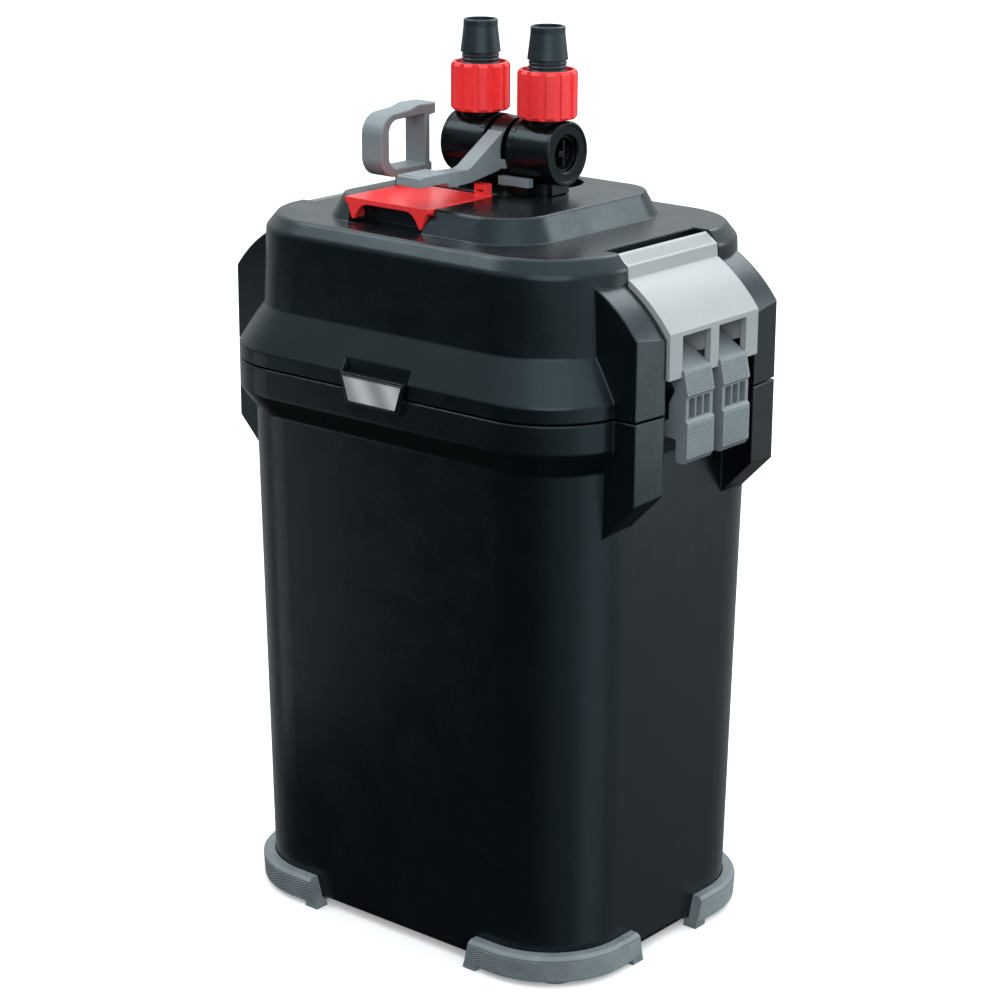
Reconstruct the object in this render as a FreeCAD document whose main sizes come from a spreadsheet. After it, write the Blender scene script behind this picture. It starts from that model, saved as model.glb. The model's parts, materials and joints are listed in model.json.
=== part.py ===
import FreeCAD, Part
import math
import os

import Sketcher

# A canister filter for an aquarium: a tall tank with four corner feet, a motor head that two side clamps
# hold down on it, and on the head a hose valve with two nozzles, a priming handle and a release tab.
# Millimetres. The origin is on the floor under the middle of the tank, +Z is up, the front faces -Y
# and the two clamps are at -X (left) and +X (right).

os.makedirs("parts", exist_ok=True)
doc = FreeCAD.newDocument("canister_filter")
V = FreeCAD.Vector
X, Y, Z = V(1, 0, 0), V(0, 1, 0), V(0, 0, 1)

# ---------------------------------------------------------------- driving dimensions

DIMENSIONS = [
    # alias, value, what it is
    ("base_x", 99.3, "half width of the tank at its foot"),
    ("base_y", 74.0, "half depth of the tank at its foot"),
    ("base_r", 38.0, "corner radius of the tank at its foot"),
    ("base_z", 3.6, "underside of the tank"),
    ("neck_x", 102.8, "half width of the tank under its flange"),
    ("neck_y", 78.2, "half depth of the tank under its flange"),
    ("neck_z", 239.5, "height where the tank starts to flare"),
    ("flange_x", 106.0, "half width of the joint between tank and head"),
    ("flange_y", 85.3, "half depth of the joint"),
    ("flange_r", 40.0, "corner radius of the joint"),
    ("flange_low", 250.0, "underside of the tank's flange"),
    ("seam_z", 263.6, "height of the joint"),
    ("seam_gap", 1.0, "open joint line between tank and head"),
    ("floor_top", 7.0, "inside floor of the tank"),
    ("seat_z", 247.0, "ledge that the head's gasket stands on"),
    ("band_z", 270.5, "top of the head's flange band"),
    ("shoulder_z", 289.0, "top of the head's sloping shoulder"),
    ("lid_x", 98.7, "half width of the head above its shoulder"),
    ("lid_y", 76.7, "half depth of the head above its shoulder"),
    ("lid_r", 41.0, "corner radius of the head"),
    ("crown_z", 323.8, "height where the head's top bevel starts"),
    ("lid_top", 330.3, "flat top of the head"),
    ("top_x", 92.0, "half width of the flat top"),
    ("top_y", 71.2, "half depth of the flat top"),
    ("top_r", 37.0, "corner radius of the flat top"),
    ("plateau_x", 59.0, "half width of the raised plateau"),
    ("plateau_y", 58.7, "half depth of the raised plateau"),
    ("plateau_shift", -1.6, "plateau centre, sideways"),
    ("plateau_slope", 5.9, "how far the plateau's sides lean in"),
    ("plateau_z", 341.0, "top of the plateau"),
    ("wall", 3.0, "shell thickness of the head"),
    ("cheek_in", 33.0, "inner face of the clamp cheeks, from the middle"),
    ("cheek_out", 51.5, "outer face of the clamp cheeks, from the middle"),
    ("cheek_x", 118.4, "outer face of a cheek at its inner edge"),
    ("cheek_fall", 1.7, "how far the cheek's face falls back over its width"),
    ("hinge_x", 94.2, "clamp hinge, from the middle"),
    ("hinge_z", 322.6, "clamp hinge height"),
    ("panel_half", 32.5, "half width of a clamp panel"),
    ("panel_x", 120.0, "outer face of a clamp panel"),
    ("panel_thick", 3.0, "clamp panel thickness"),
    ("pivot_x", 106.5, "pivot of the clamp arms, from the middle"),
    ("pivot_z", 287.5, "pivot height of the clamp arms"),
    ("arm_in", 3.5, "inner face of an arm, from the middle"),
    ("arm_out", 23.1, "outer face of an arm, from the middle"),
    ("catch_x", 112.5, "tip of the rim catch that the arms hook under"),
    ("catch_low", 256.4, "underside of the rim catch at its root"),
    ("nozzle_x", 19.4, "hose nozzles, from the middle"),
    ("valve_y", 9.0, "valve axis, behind the middle"),
    ("valve_z", 359.9, "valve axis height"),
    ("barrel_r", 14.4, "outer radius of a valve barrel"),
    ("barrel_end", 29.5, "outer end of a valve barrel"),
    ("rotor_r", 10.0, "radius of the valve rotors"),
    ("bore_r", 6.4, "radius of the water passages"),
    ("nut_low", 375.0, "underside of the lock nuts"),
    ("nut_top", 396.6, "top of the lock nuts"),
    ("nut_r", 13.5, "outer radius of a lock nut"),
    ("nozzle_top", 415.6, "top of the hose nozzles"),
    ("primer_x", -49.5, "priming pump, sideways"),
    ("primer_y", -12.0, "priming pump, from the middle"),
    ("motor_x", 16.0, "impeller axis, sideways"),
    ("motor_y", 24.0, "impeller axis, behind the middle"),
    ("well_r", 14.5, "bore of the impeller well"),
]

sheet = doc.addObject("Spreadsheet::Sheet", "dims")
for row, (alias, value, meaning) in enumerate(DIMENSIONS, 1):
    sheet.set(f"A{row}", meaning)
    sheet.set(f"B{row}", str(value))
    sheet.setAlias(f"B{row}", alias)
doc.recompute()


class Size:
    """A length that keeps both its value and the spreadsheet formula that it comes from."""

    def __init__(self, value, formula):
        self.value = float(value)
        self.formula = formula

    def __add__(self, other):
        other = as_size(other)
        return Size(self.value + other.value, f"({self.formula} + {other.formula})")

    def __sub__(self, other):
        other = as_size(other)
        return Size(self.value - other.value, f"({self.formula} - {other.formula})")

    def __mul__(self, factor):
        return Size(self.value * factor, f"({self.formula} * {factor})")

    def __radd__(self, other):
        return as_size(other) + self

    def __rsub__(self, other):
        return as_size(other) - self

    def __rmul__(self, factor):
        return self * factor

    def __neg__(self):
        return self * -1


def as_size(number):
    return number if isinstance(number, Size) else Size(number, f"({float(number)})")


class Dims:
    """The spreadsheet's cells by alias, as sizes."""

    def __getattr__(self, alias):
        return Size(sheet.get(alias), f"dims.{alias}")


D = Dims()


def bind(item, prop, size):
    """Tie a property to the spreadsheet when the size comes from it."""
    size = as_size(size)
    if "dims." in size.formula:
        item.setExpression(prop, size.formula)


# ---------------------------------------------------------------- sketches

PLANES = {
    "XY": FreeCAD.Rotation(),
    "XZ": FreeCAD.Rotation(X, 90),
    "YZ": FreeCAD.Rotation(V(1, 1, 1), 120),
}
NORMALS = {"XY": ("z", Z), "XZ": ("y", Y), "YZ": ("x", X)}


def vector(x=0, y=0, z=0):
    return V(as_size(x).value, as_size(y).value, as_size(z).value)


def new_sketch(label, plane="XY", offset=0):
    """A sketch on a plane parallel to XY, XZ or YZ, at an offset along the plane's world axis."""
    sketch = doc.addObject("Sketcher::SketchObject", label)
    axis, normal = NORMALS[plane]
    sketch.Placement = FreeCAD.Placement(normal * as_size(offset).value, PLANES[plane])
    bind(sketch, f"Placement.Base.{axis}", offset)
    return sketch


def fix_point(sketch, edge, place, at):
    """Hold one point of an edge at its two coordinates."""
    for kind, axis, size in (("DistanceX", -2, at[0]), ("DistanceY", -1, at[1])):
        size = as_size(size)
        if abs(size.value) < 1e-6:
            sketch.addConstraint(Sketcher.Constraint("PointOnObject", edge, place, axis))
        else:
            number = sketch.addConstraint(Sketcher.Constraint(kind, -1, 1, edge, place, size.value))
            bind(sketch, f"Constraints[{number}]", size)


def arc_through(start, middle, end):
    """The arc through three points, always anticlockwise, as sketches keep their arcs."""
    arc = Part.Arc(start, middle, end).toShape().Curve
    angles = [math.atan2(point.y - arc.Center.y, point.x - arc.Center.x) for point in (start, end)]
    if (middle - start).cross(end - middle).z < 0:
        angles.reverse()
    if angles[1] < angles[0]:
        angles[1] += 2 * math.pi
    return Part.ArcOfCircle(Part.Circle(arc.Center, Z, arc.Radius), *angles)


def draw_outline(sketch, points):
    """A closed outline. A third entry in a point is the middle of the arc that starts there."""
    corners = [vector(*point[:2]) for point in points]
    first = len(sketch.Geometry)
    for number, point in enumerate(points):
        start, end = corners[number], corners[(number + 1) % len(points)]
        if len(point) > 2:
            sketch.addGeometry(arc_through(start, vector(*point[2]), end), False)
        else:
            sketch.addGeometry(Part.LineSegment(start, end), False)
    starts, ends = [], []
    for number, point in enumerate(points):
        edge = sketch.Geometry[first + number]
        turned_round = edge.StartPoint.distanceToPoint(corners[number]) > 1e-6
        starts.append(2 if turned_round else 1)
        ends.append(1 if turned_round else 2)
    for number, point in enumerate(points):
        after = (number + 1) % len(points)
        sketch.addConstraint(
            Sketcher.Constraint("Coincident", first + number, ends[number], first + after, starts[after])
        )
        fix_point(sketch, first + number, starts[number], point[:2])
        if len(point) > 2:
            radius = sketch.Geometry[first + number].Radius
            sketch.addConstraint(Sketcher.Constraint("Radius", first + number, radius))
    return sketch


def draw_circle(sketch, centre, radius):
    edge = sketch.addGeometry(Part.Circle(vector(*centre), Z, as_size(radius).value), False)
    number = sketch.addConstraint(Sketcher.Constraint("Radius", edge, as_size(radius).value))
    bind(sketch, f"Constraints[{number}]", radius)
    fix_point(sketch, edge, 3, centre)
    return sketch


CORNERS = ((1, 1), (-1, 1), (-1, -1), (1, -1))


def draw_rounded(sketch, half_x, half_y, radii, centre=(0, 0)):
    """A rectangle with rounded corners. radii is one radius, or four from the rear right, anticlockwise."""
    if not isinstance(radii, (list, tuple)):
        radii = [radii] * 4
    arcs = []
    centres = []
    for number, (side_x, side_y) in enumerate(CORNERS):
        radius = as_size(radii[number])
        middle = (centre[0] + side_x * (half_x - radius), centre[1] + side_y * (half_y - radius))
        centres.append(middle)
        circle = Part.Circle(vector(*middle), Z, radius.value)
        start = math.pi / 2 * number
        arcs.append(sketch.addGeometry(Part.ArcOfCircle(circle, start, start + math.pi / 2), False))
    for number in range(4):
        start = sketch.Geometry[arcs[number]].EndPoint
        end = sketch.Geometry[arcs[(number + 1) % 4]].StartPoint
        line = sketch.addGeometry(Part.LineSegment(start, end), False)
        sketch.addConstraint(Sketcher.Constraint("Tangent", arcs[number], 2, line, 1))
        sketch.addConstraint(Sketcher.Constraint("Tangent", line, 2, arcs[(number + 1) % 4], 1))
    for number, middle in enumerate(centres):
        radius = as_size(radii[number])
        edge = sketch.addConstraint(Sketcher.Constraint("Radius", arcs[number], radius.value))
        bind(sketch, f"Constraints[{edge}]", radius)
        fix_point(sketch, arcs[number], 3, middle)
    return sketch


# ---------------------------------------------------------------- solids


def extrude(label, sketch, plane, length):
    """Push a sketch along the world axis that its plane faces."""
    solid = doc.addObject("Part::Extrusion", label)
    solid.Base = sketch
    solid.DirMode = "Custom"
    solid.Dir = NORMALS[plane][1]
    solid.LengthFwd = as_size(length).value
    bind(solid, "LengthFwd", length)
    solid.Solid = True
    return solid


def prism(label, plane, span, points):
    """A straight solid of the outlined section between two offsets along the plane's axis."""
    sketch = draw_outline(new_sketch(f"{label}_section", plane, span[0]), points)
    return extrude(label, sketch, plane, as_size(span[1]) - span[0])


def slab(label, half_x, half_y, radii, low, high, centre=(0, 0)):
    """An upright solid whose plan is a rounded rectangle."""
    sketch = draw_rounded(new_sketch(f"{label}_plan", "XY", low), half_x, half_y, radii, centre)
    return extrude(label, sketch, "XY", as_size(high) - low)


def tower(label, levels, centre=(0, 0)):
    """A solid through rounded rectangles, each level being half width, half depth, radii and height."""
    loft = doc.addObject("Part::Loft", label)
    loft.Sections = [
        draw_rounded(new_sketch(f"{label}_level", "XY", z), half_x, half_y, radii, centre)
        for half_x, half_y, radii, z in levels
    ]
    loft.Solid = True
    loft.Ruled = True
    return loft


def block(label, x, y, z):
    """A box between two limits along each axis."""
    box = doc.addObject("Part::Box", label)
    low = [as_size(min(span, key=lambda size: as_size(size).value)) for span in (x, y, z)]
    high = [as_size(max(span, key=lambda size: as_size(size).value)) for span in (x, y, z)]
    for prop, axis, start, end in zip(("Length", "Width", "Height"), "xyz", low, high):
        setattr(box, prop, end.value - start.value)
        bind(box, prop, end - start)
        bind(box, f"Placement.Base.{axis}", start)
    box.Placement.Base = vector(*low)
    return box


TURNS = {"z": FreeCAD.Rotation(), "y": FreeCAD.Rotation(X, -90), "x": FreeCAD.Rotation(Y, 90)}


def rod(label, axis, centre, radius, low, high):
    """A cylinder along an axis. centre gives its other two coordinates, in X, Y, Z order."""
    cylinder = doc.addObject("Part::Cylinder", label)
    cylinder.Radius = as_size(radius).value
    bind(cylinder, "Radius", radius)
    cylinder.Height = (as_size(high) - low).value
    bind(cylinder, "Height", as_size(high) - low)
    places = list(centre)
    places.insert("xyz".index(axis), low)
    cylinder.Placement = FreeCAD.Placement(vector(*places), TURNS[axis])
    for name, place in zip("xyz", places):
        bind(cylinder, f"Placement.Base.{name}", place)
    return cylinder


def turned(label, axis, centre, points):
    """A solid of revolution. Points are (radius, place along the axis); the axis is z or x."""
    plane = "XZ"
    sketch = doc.addObject("Sketcher::SketchObject", f"{label}_profile")
    if axis == "z":
        base = [centre[0], centre[1], 0]
        draw_outline(sketch, points)
    else:
        base = [0, centre[0], centre[1]]
        draw_outline(sketch, [(place, radius) for radius, place in points])
    sketch.Placement = FreeCAD.Placement(vector(*base), PLANES[plane])
    for name, place in zip("xyz", base):
        bind(sketch, f"Placement.Base.{name}", place)
    solid = doc.addObject("Part::Revolution", label)
    solid.Source = sketch
    solid.Axis = Z if axis == "z" else X
    solid.Base = vector(*base)
    for name, place in zip("xyz", base):
        bind(solid, f"Base.{name}", place)
    solid.Angle = 360
    solid.Solid = True
    return solid


def ring(label, radius, section_radius, centre, height):
    """A round-section ring lying flat."""
    torus = doc.addObject("Part::Torus", label)
    torus.Radius1 = as_size(radius).value
    torus.Radius2 = as_size(section_radius).value
    bind(torus, "Radius1", radius)
    bind(torus, "Radius2", section_radius)
    torus.Placement.Base = vector(centre[0], centre[1], height)
    for name, place in zip("xyz", (*centre, height)):
        bind(torus, f"Placement.Base.{name}", place)
    return torus


def join(label, pieces):
    fused = doc.addObject("Part::MultiFuse", label)
    fused.Shapes = pieces
    return fused


def group(label, pieces):
    """Separate solids that share one node."""
    compound = doc.addObject("Part::Compound", label)
    compound.Links = pieces
    return compound


def cut(label, base, tools):
    """The base with every tool taken out of it."""
    result = doc.addObject("Part::Cut", label)
    result.Base = base
    result.Tool = tools[0] if len(tools) == 1 else join(f"{label}_tools", tools)
    return result


def overlap(label, first, second):
    result = doc.addObject("Part::Common", label)
    result.Base = first
    result.Tool = second
    return result


def rounded_edges(label, base, radius, wanted):
    """Round the edges for which wanted(edge) is true."""
    doc.recompute()
    numbers = [number for number, edge in enumerate(base.Shape.Edges, 1) if wanted(edge)]
    fillet = doc.addObject("Part::Fillet", label)
    fillet.Base = base
    fillet.Edges = [(number, radius, radius) for number in numbers]
    return fillet


def at_height(*heights):
    """A test for edges that lie flat at one of the heights."""
    values = [as_size(height).value for height in heights]

    def test(edge):
        box = edge.BoundBox
        return any(abs(box.ZMin - value) < 0.01 and abs(box.ZMax - value) < 0.01 for value in values)

    return test


nodes = {}


def node(name, item):
    """Name a finished sub-part. Its label is its file's name."""
    item.Label = name
    nodes[name] = item
    return item


SIDES = (("left", -1), ("right", 1))
ENDS = (("front", -1), ("rear", 1))

# ---------------------------------------------------------------- shapes shared by tank and head

SEAM_LOW = D.seam_z - D.seam_gap * 0.5
SEAM_HIGH = D.seam_z + D.seam_gap * 0.5


def cheek_pair(label, side, low, high, section):
    """Two clamp cheeks on one side: the given XZ section, limited to a tapering plan."""
    inboard = side * 90
    plans = []
    for end, sign in ENDS:
        plan = new_sketch(f"{label}_{end}_plan", "XY", low)
        draw_outline(
            plan,
            [
                (inboard, sign * D.cheek_in),
                (side * D.cheek_x, sign * D.cheek_in),
                (side * (D.cheek_x - D.cheek_fall), sign * D.cheek_out),
                (inboard, sign * D.cheek_out),
            ],
        )
        plans.append(extrude(f"{label}_{end}", plan, "XY", as_size(high) - low))
    limits = prism(f"{label}_side", "XZ", (-D.cheek_out - 1, D.cheek_out + 1), section)
    return overlap(label, join(f"{label}_both", plans), limits)


# ---------------------------------------------------------------- the tank


def make_tank():
    shell = tower(
        "tank_outside",
        [
            (D.base_x, D.base_y, D.base_r, D.base_z),
            (D.neck_x, D.neck_y, D.flange_r, D.neck_z),
            (D.flange_x, D.flange_y, D.flange_r, D.flange_low),
            (D.flange_x, D.flange_y, D.flange_r, SEAM_LOW),
        ],
    )
    shell = rounded_edges("tank_rounded_foot", shell, 3.5, at_height(D.base_z))
    shell = rounded_edges("tank_rounded_neck", shell, 2.5, at_height(D.neck_z, D.flange_low))
    pieces = [shell]
    for name, side in SIDES:
        chin = [
            (side * 90, 199.2),
            (side * 125, 235.2),
            (side * 125, SEAM_LOW),
            (side * 90, SEAM_LOW),
        ]
        pieces.append(cheek_pair(f"tank_cheeks_{name}", side, 195, SEAM_LOW, chin))
    badge_boss = [(-15.6, 256.4), (15.6, 256.4), (18.8, 270.9), (-18.8, 270.9)]
    pieces.append(prism("tank_badge_boss", "XZ", (-87.2, -82.8), badge_boss))
    solid = join("tank_solid", pieces)
    inside = tower(
        "tank_inside",
        [
            (D.base_x - 3.5, D.base_y - 3.5, 34.5, D.floor_top),
            (D.neck_x - 3.9, D.neck_y - 3.8, 36.3, D.seat_z),
        ],
    )
    mouth = slab("tank_mouth", D.flange_x - 4.4, D.flange_y - 4.5, 36.0, D.seat_z, D.seam_z)
    bed = [(-14.2, 257.9), (14.2, 257.9), (18.0, 270.0), (-18.0, 270.0)]
    badge_bed = prism("tank_badge_bed", "XZ", (-88, -86.2), bed)
    node("tank", cut("tank_cut", solid, [inside, mouth, badge_bed]))
    plate = [(-14.0, 258.1), (14.0, 258.1), (17.8, 269.8), (-17.8, 269.8)]
    node("badge_plate", prism("badge_plate_blank", "XZ", (-87.4, -86.2), plate))


def make_catches():
    """The two strips on the tank's rim, between the cheeks, that the clamp arms hook under."""
    strips = []
    for name, side in SIDES:
        section = [
            (side * (D.flange_x + 0.05), D.catch_low),
            (side * 107, D.catch_low),
            (side * D.catch_x, D.catch_low + (D.catch_x - 107) * math.tan(math.radians(30))),
            (side * D.catch_x, SEAM_LOW),
            (side * (D.flange_x + 0.05), SEAM_LOW),
        ]
        strips.append(prism(f"rim_catch_{name}", "XZ", (-D.cheek_in + 0.1, D.cheek_in - 0.1), section))
    node("rim_catches", group("rim_catch_pair", strips))


def make_foot(name, side_x, side_y):
    """A corner boot: a curved skirt round the tank's corner, a shelf under it, two legs and a round pad."""
    outside = tower(
        f"{name}_outside",
        [
            (D.base_x + 5.0, D.base_y + 5.4, 42.5, 2.6),
            (D.base_x + 5.6, D.base_y + 6.0, 43.0, 13.4),
            (D.base_x + 4.2, D.base_y + 4.6, 41.6, 14.9),
        ],
    )
    across = [(side_x * 45.3, -1), (side_x * 50.0, 16), (side_x * 120, 16), (side_x * 120, -1)]
    along = [(side_y * 20.1, -1), (side_y * 24.6, 16), (side_y * 120, 16), (side_y * 120, -1)]
    corner = overlap(
        f"{name}_corner",
        prism(f"{name}_across", "XZ", sorted((0, side_y * 90)), across),
        prism(f"{name}_along", "YZ", sorted((0, side_x * 120)), along),
    )
    legs = [
        slab(f"{name}_legs", D.base_x + 5.0, D.base_y + 5.4, 42.5, 0, 2.8),
        slab(f"{name}_legs_inside", D.base_x - 2.0, D.base_y - 2.0, 36, -1, 3),
        prism(f"{name}_legs_gap", "XY", (-1, 3), [
            (side_x * 53.0, side_y * 28.0), (side_x * 120, side_y * 28.0),
            (side_x * 120, side_y * 100), (side_x * 53.0, side_y * 100),
        ]),
    ]
    tips = overlap(f"{name}_tips", cut(f"{name}_tip_band", legs[0], legs[1:]), corner)
    skirt = overlap(f"{name}_skirt", outside, corner)
    pad = rod(f"{name}_pad", "z", (side_x * 82.5, side_y * 58.0), 9.5, 0, 2.7)
    tank_space = tower(
        f"{name}_tank_space",
        [
            (D.base_x + 0.1, D.base_y + 0.1, D.base_r, D.base_z - 0.1),
            (D.base_x + 0.5, D.base_y + 0.6, D.base_r, 20),
        ],
    )
    middle = slab(f"{name}_middle", D.base_x - 26, D.base_y - 26, 14, 2, 5)
    node(name, cut(f"{name}_cut", join(f"{name}_solid", [skirt, tips, pad]), [tank_space, middle]))


# ---------------------------------------------------------------- media in the tank

BASKET_CENTRE = (-14.5, 0)
BASKET_HALF = (78.0, 67.8)
BASKET_RADII = [8.0, 33.0, 33.0, 8.0]
BASKET_LOW = 10.0
BASKET_TALL = 66.0
BASKET_STEP = 66.2


def make_basket(name, low):
    """An open tray with a slotted floor, drawn as a body: a pad, a pocket and a patterned slot."""
    body = doc.addObject("PartDesign::Body", name)
    origin_plane = next(item for item in body.Origin.OriginFeatures if item.Role == "XY_Plane")

    def plane_sketch(label, height):
        sketch = body.newObject("Sketcher::SketchObject", label)
        sketch.AttachmentSupport = (origin_plane, [""])
        sketch.MapMode = "FlatFace"
        sketch.AttachmentOffset = FreeCAD.Placement(V(0, 0, height), FreeCAD.Rotation())
        return sketch

    outer = draw_rounded(plane_sketch(f"{name}_outer", 0), *map(as_size, BASKET_HALF), BASKET_RADII)
    pad = body.newObject("PartDesign::Pad", f"{name}_pad")
    pad.Profile = outer
    pad.Length = BASKET_TALL
    thin = 2.0
    inner_radii = [radius - thin for radius in BASKET_RADII]
    inner_half = [as_size(half - thin) for half in BASKET_HALF]
    inner = draw_rounded(plane_sketch(f"{name}_inner", BASKET_TALL), *inner_half, inner_radii)
    pocket = body.newObject("PartDesign::Pocket", f"{name}_pocket")
    pocket.Profile = inner
    pocket.Length = BASKET_TALL - thin
    slots = plane_sketch(f"{name}_slot", thin + 1)
    for row in range(-2, 3):
        middle = row * 22.0
        draw_outline(slots, [(-66, middle - 7), (-63, middle - 7), (-63, middle + 7), (-66, middle + 7)])
    floor_cut = body.newObject("PartDesign::Pocket", f"{name}_floor_cut")
    floor_cut.Profile = slots
    floor_cut.Length = 10
    doc.recompute()
    pattern = body.newObject("PartDesign::LinearPattern", f"{name}_slots")
    pattern.Originals = [floor_cut]
    pattern.Direction = (outer, ["H_Axis"])
    pattern.Length = 128
    pattern.Occurrences = 17
    body.Tip = pattern
    body.Placement.Base = V(BASKET_CENTRE[0], BASKET_CENTRE[1], low)
    return node(name, body)


def make_media():
    names = ("media_basket_lower", "media_basket_middle", "media_basket_upper")
    for level, name in enumerate(names):
        make_basket(name, BASKET_LOW + level * BASKET_STEP)
    stack_top = BASKET_LOW + 3 * BASKET_STEP
    lid = slab("basket_lid_plate", *BASKET_HALF, BASKET_RADII, stack_top, stack_top + 2.4, BASKET_CENTRE)
    slots = [
        block(f"basket_lid_slot_{number}", (x, x + 4), (-50, 50), (stack_top - 1, stack_top + 4))
        for number, x in enumerate(range(-80, 60, 10))
    ]
    node("basket_lid", cut("basket_lid_cut", lid, slots))

    # The lifting sling: a flat strap up the front and back of the stack and a bar over its lid.
    middle = BASKET_CENTRE[0]
    strap = [(-69.9, 10), (-68.1, 10), (-68.1, stack_top + 2.8), (68.1, stack_top + 2.8), (68.1, 10)]
    strap += [(69.9, 10), (69.9, stack_top + 6), (-69.9, stack_top + 6)]
    node("basket_sling", prism("basket_sling_strap", "YZ", (middle - 7, middle + 7), strap))

    # Ceramic rings stand in rows in the lower basket.
    rings = []
    for column in range(8):
        for line in range(6):
            for layer in range(3):
                centre = (-73 + column * 16.5, -41.5 + line * 16.6)
                low = BASKET_LOW + 2.3 + layer * 18.5
                rings.append(
                    turned(f"ring_{column}_{line}_{layer}", "z", centre,
                           [(3.2, low), (7.4, low), (7.4, low + 16), (3.2, low + 16)])
                )
    node("ceramic_rings", group("ring_group", rings))

    def pillow(name, half_x, half_y, low, high, radius):
        soft = slab(f"{name}_block", half_x, half_y, 24, low, high, BASKET_CENTRE)
        node(name, rounded_edges(f"{name}_soft", soft, radius, at_height(low, high)))

    second = BASKET_LOW + BASKET_STEP
    third = second + BASKET_STEP
    pillow("carbon_bag", 70, 58, second + 2.4, second + 44, 12)
    pillow("polishing_pad", 74, 63, third + 2.4, third + 30, 4)

    # The foam screens stand in a frame on the right of the baskets.
    frame = slab("foam_frame_block", 13.6, 50, 3, 10, 214, (79.6, 0))
    windows = [
        block(f"foam_window_{number}", (60, 100), (-46, 46), (z, z + 62))
        for number, z in enumerate((14, 80, 146))
    ]
    hollow = block("foam_frame_hollow", (68, 91.2), (-48, 48), (12, 230))
    node("foam_frame", cut("foam_frame_cut", frame, [*windows, hollow]))
    for name, left, right in (("foam_pad_inner", 68.3, 79.4), ("foam_pad_outer", 79.8, 90.9)):
        half = (right - left) / 2
        node(name, slab(f"{name}_block", half, 47.6, 2, 12.3, 212, ((left + right) / 2, 0)))


# ---------------------------------------------------------------- the motor head

TAB_LEFT, TAB_RIGHT = -42.6, 6.4
TAB_FRONT, TAB_HINGE = -54.2, -14.0
TAB_HINGE_Z = 339.0
RECESS_FLOOR = 333.5
WELL = (0, 29.5)
WELL_RADIUS = 19.5
SOCKET_LOW = 315.0
SCREW_PLACES = [(-80, -52), (80, -52), (-80, 52), (80, 52), (0, -68), (0, 68)]
PLATEAU_RADII = [24.0, 20.0, 19.0, 27.0]
PLATE_LOW, PLATE_TOP = 264.4, 267.7
GLAND = (-48, 303)


def lid_levels(inset, top):
    """The head's outline from the joint up, drawn in by an inset."""
    return [
        (D.flange_x - inset * 1.8, D.flange_y - inset * 2.0, D.flange_r - inset, SEAM_HIGH),
        (D.flange_x - inset * 1.8, D.flange_y - inset * 2.0, D.flange_r - inset, D.band_z),
        (D.lid_x - inset, D.lid_y - inset, D.lid_r - inset, D.shoulder_z),
        (D.lid_x - 1.2 - inset, D.lid_y - 1.2 - inset, D.lid_r - inset, D.crown_z - inset),
        (D.top_x - inset, D.top_y - inset, D.top_r - inset, top),
    ]


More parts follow.
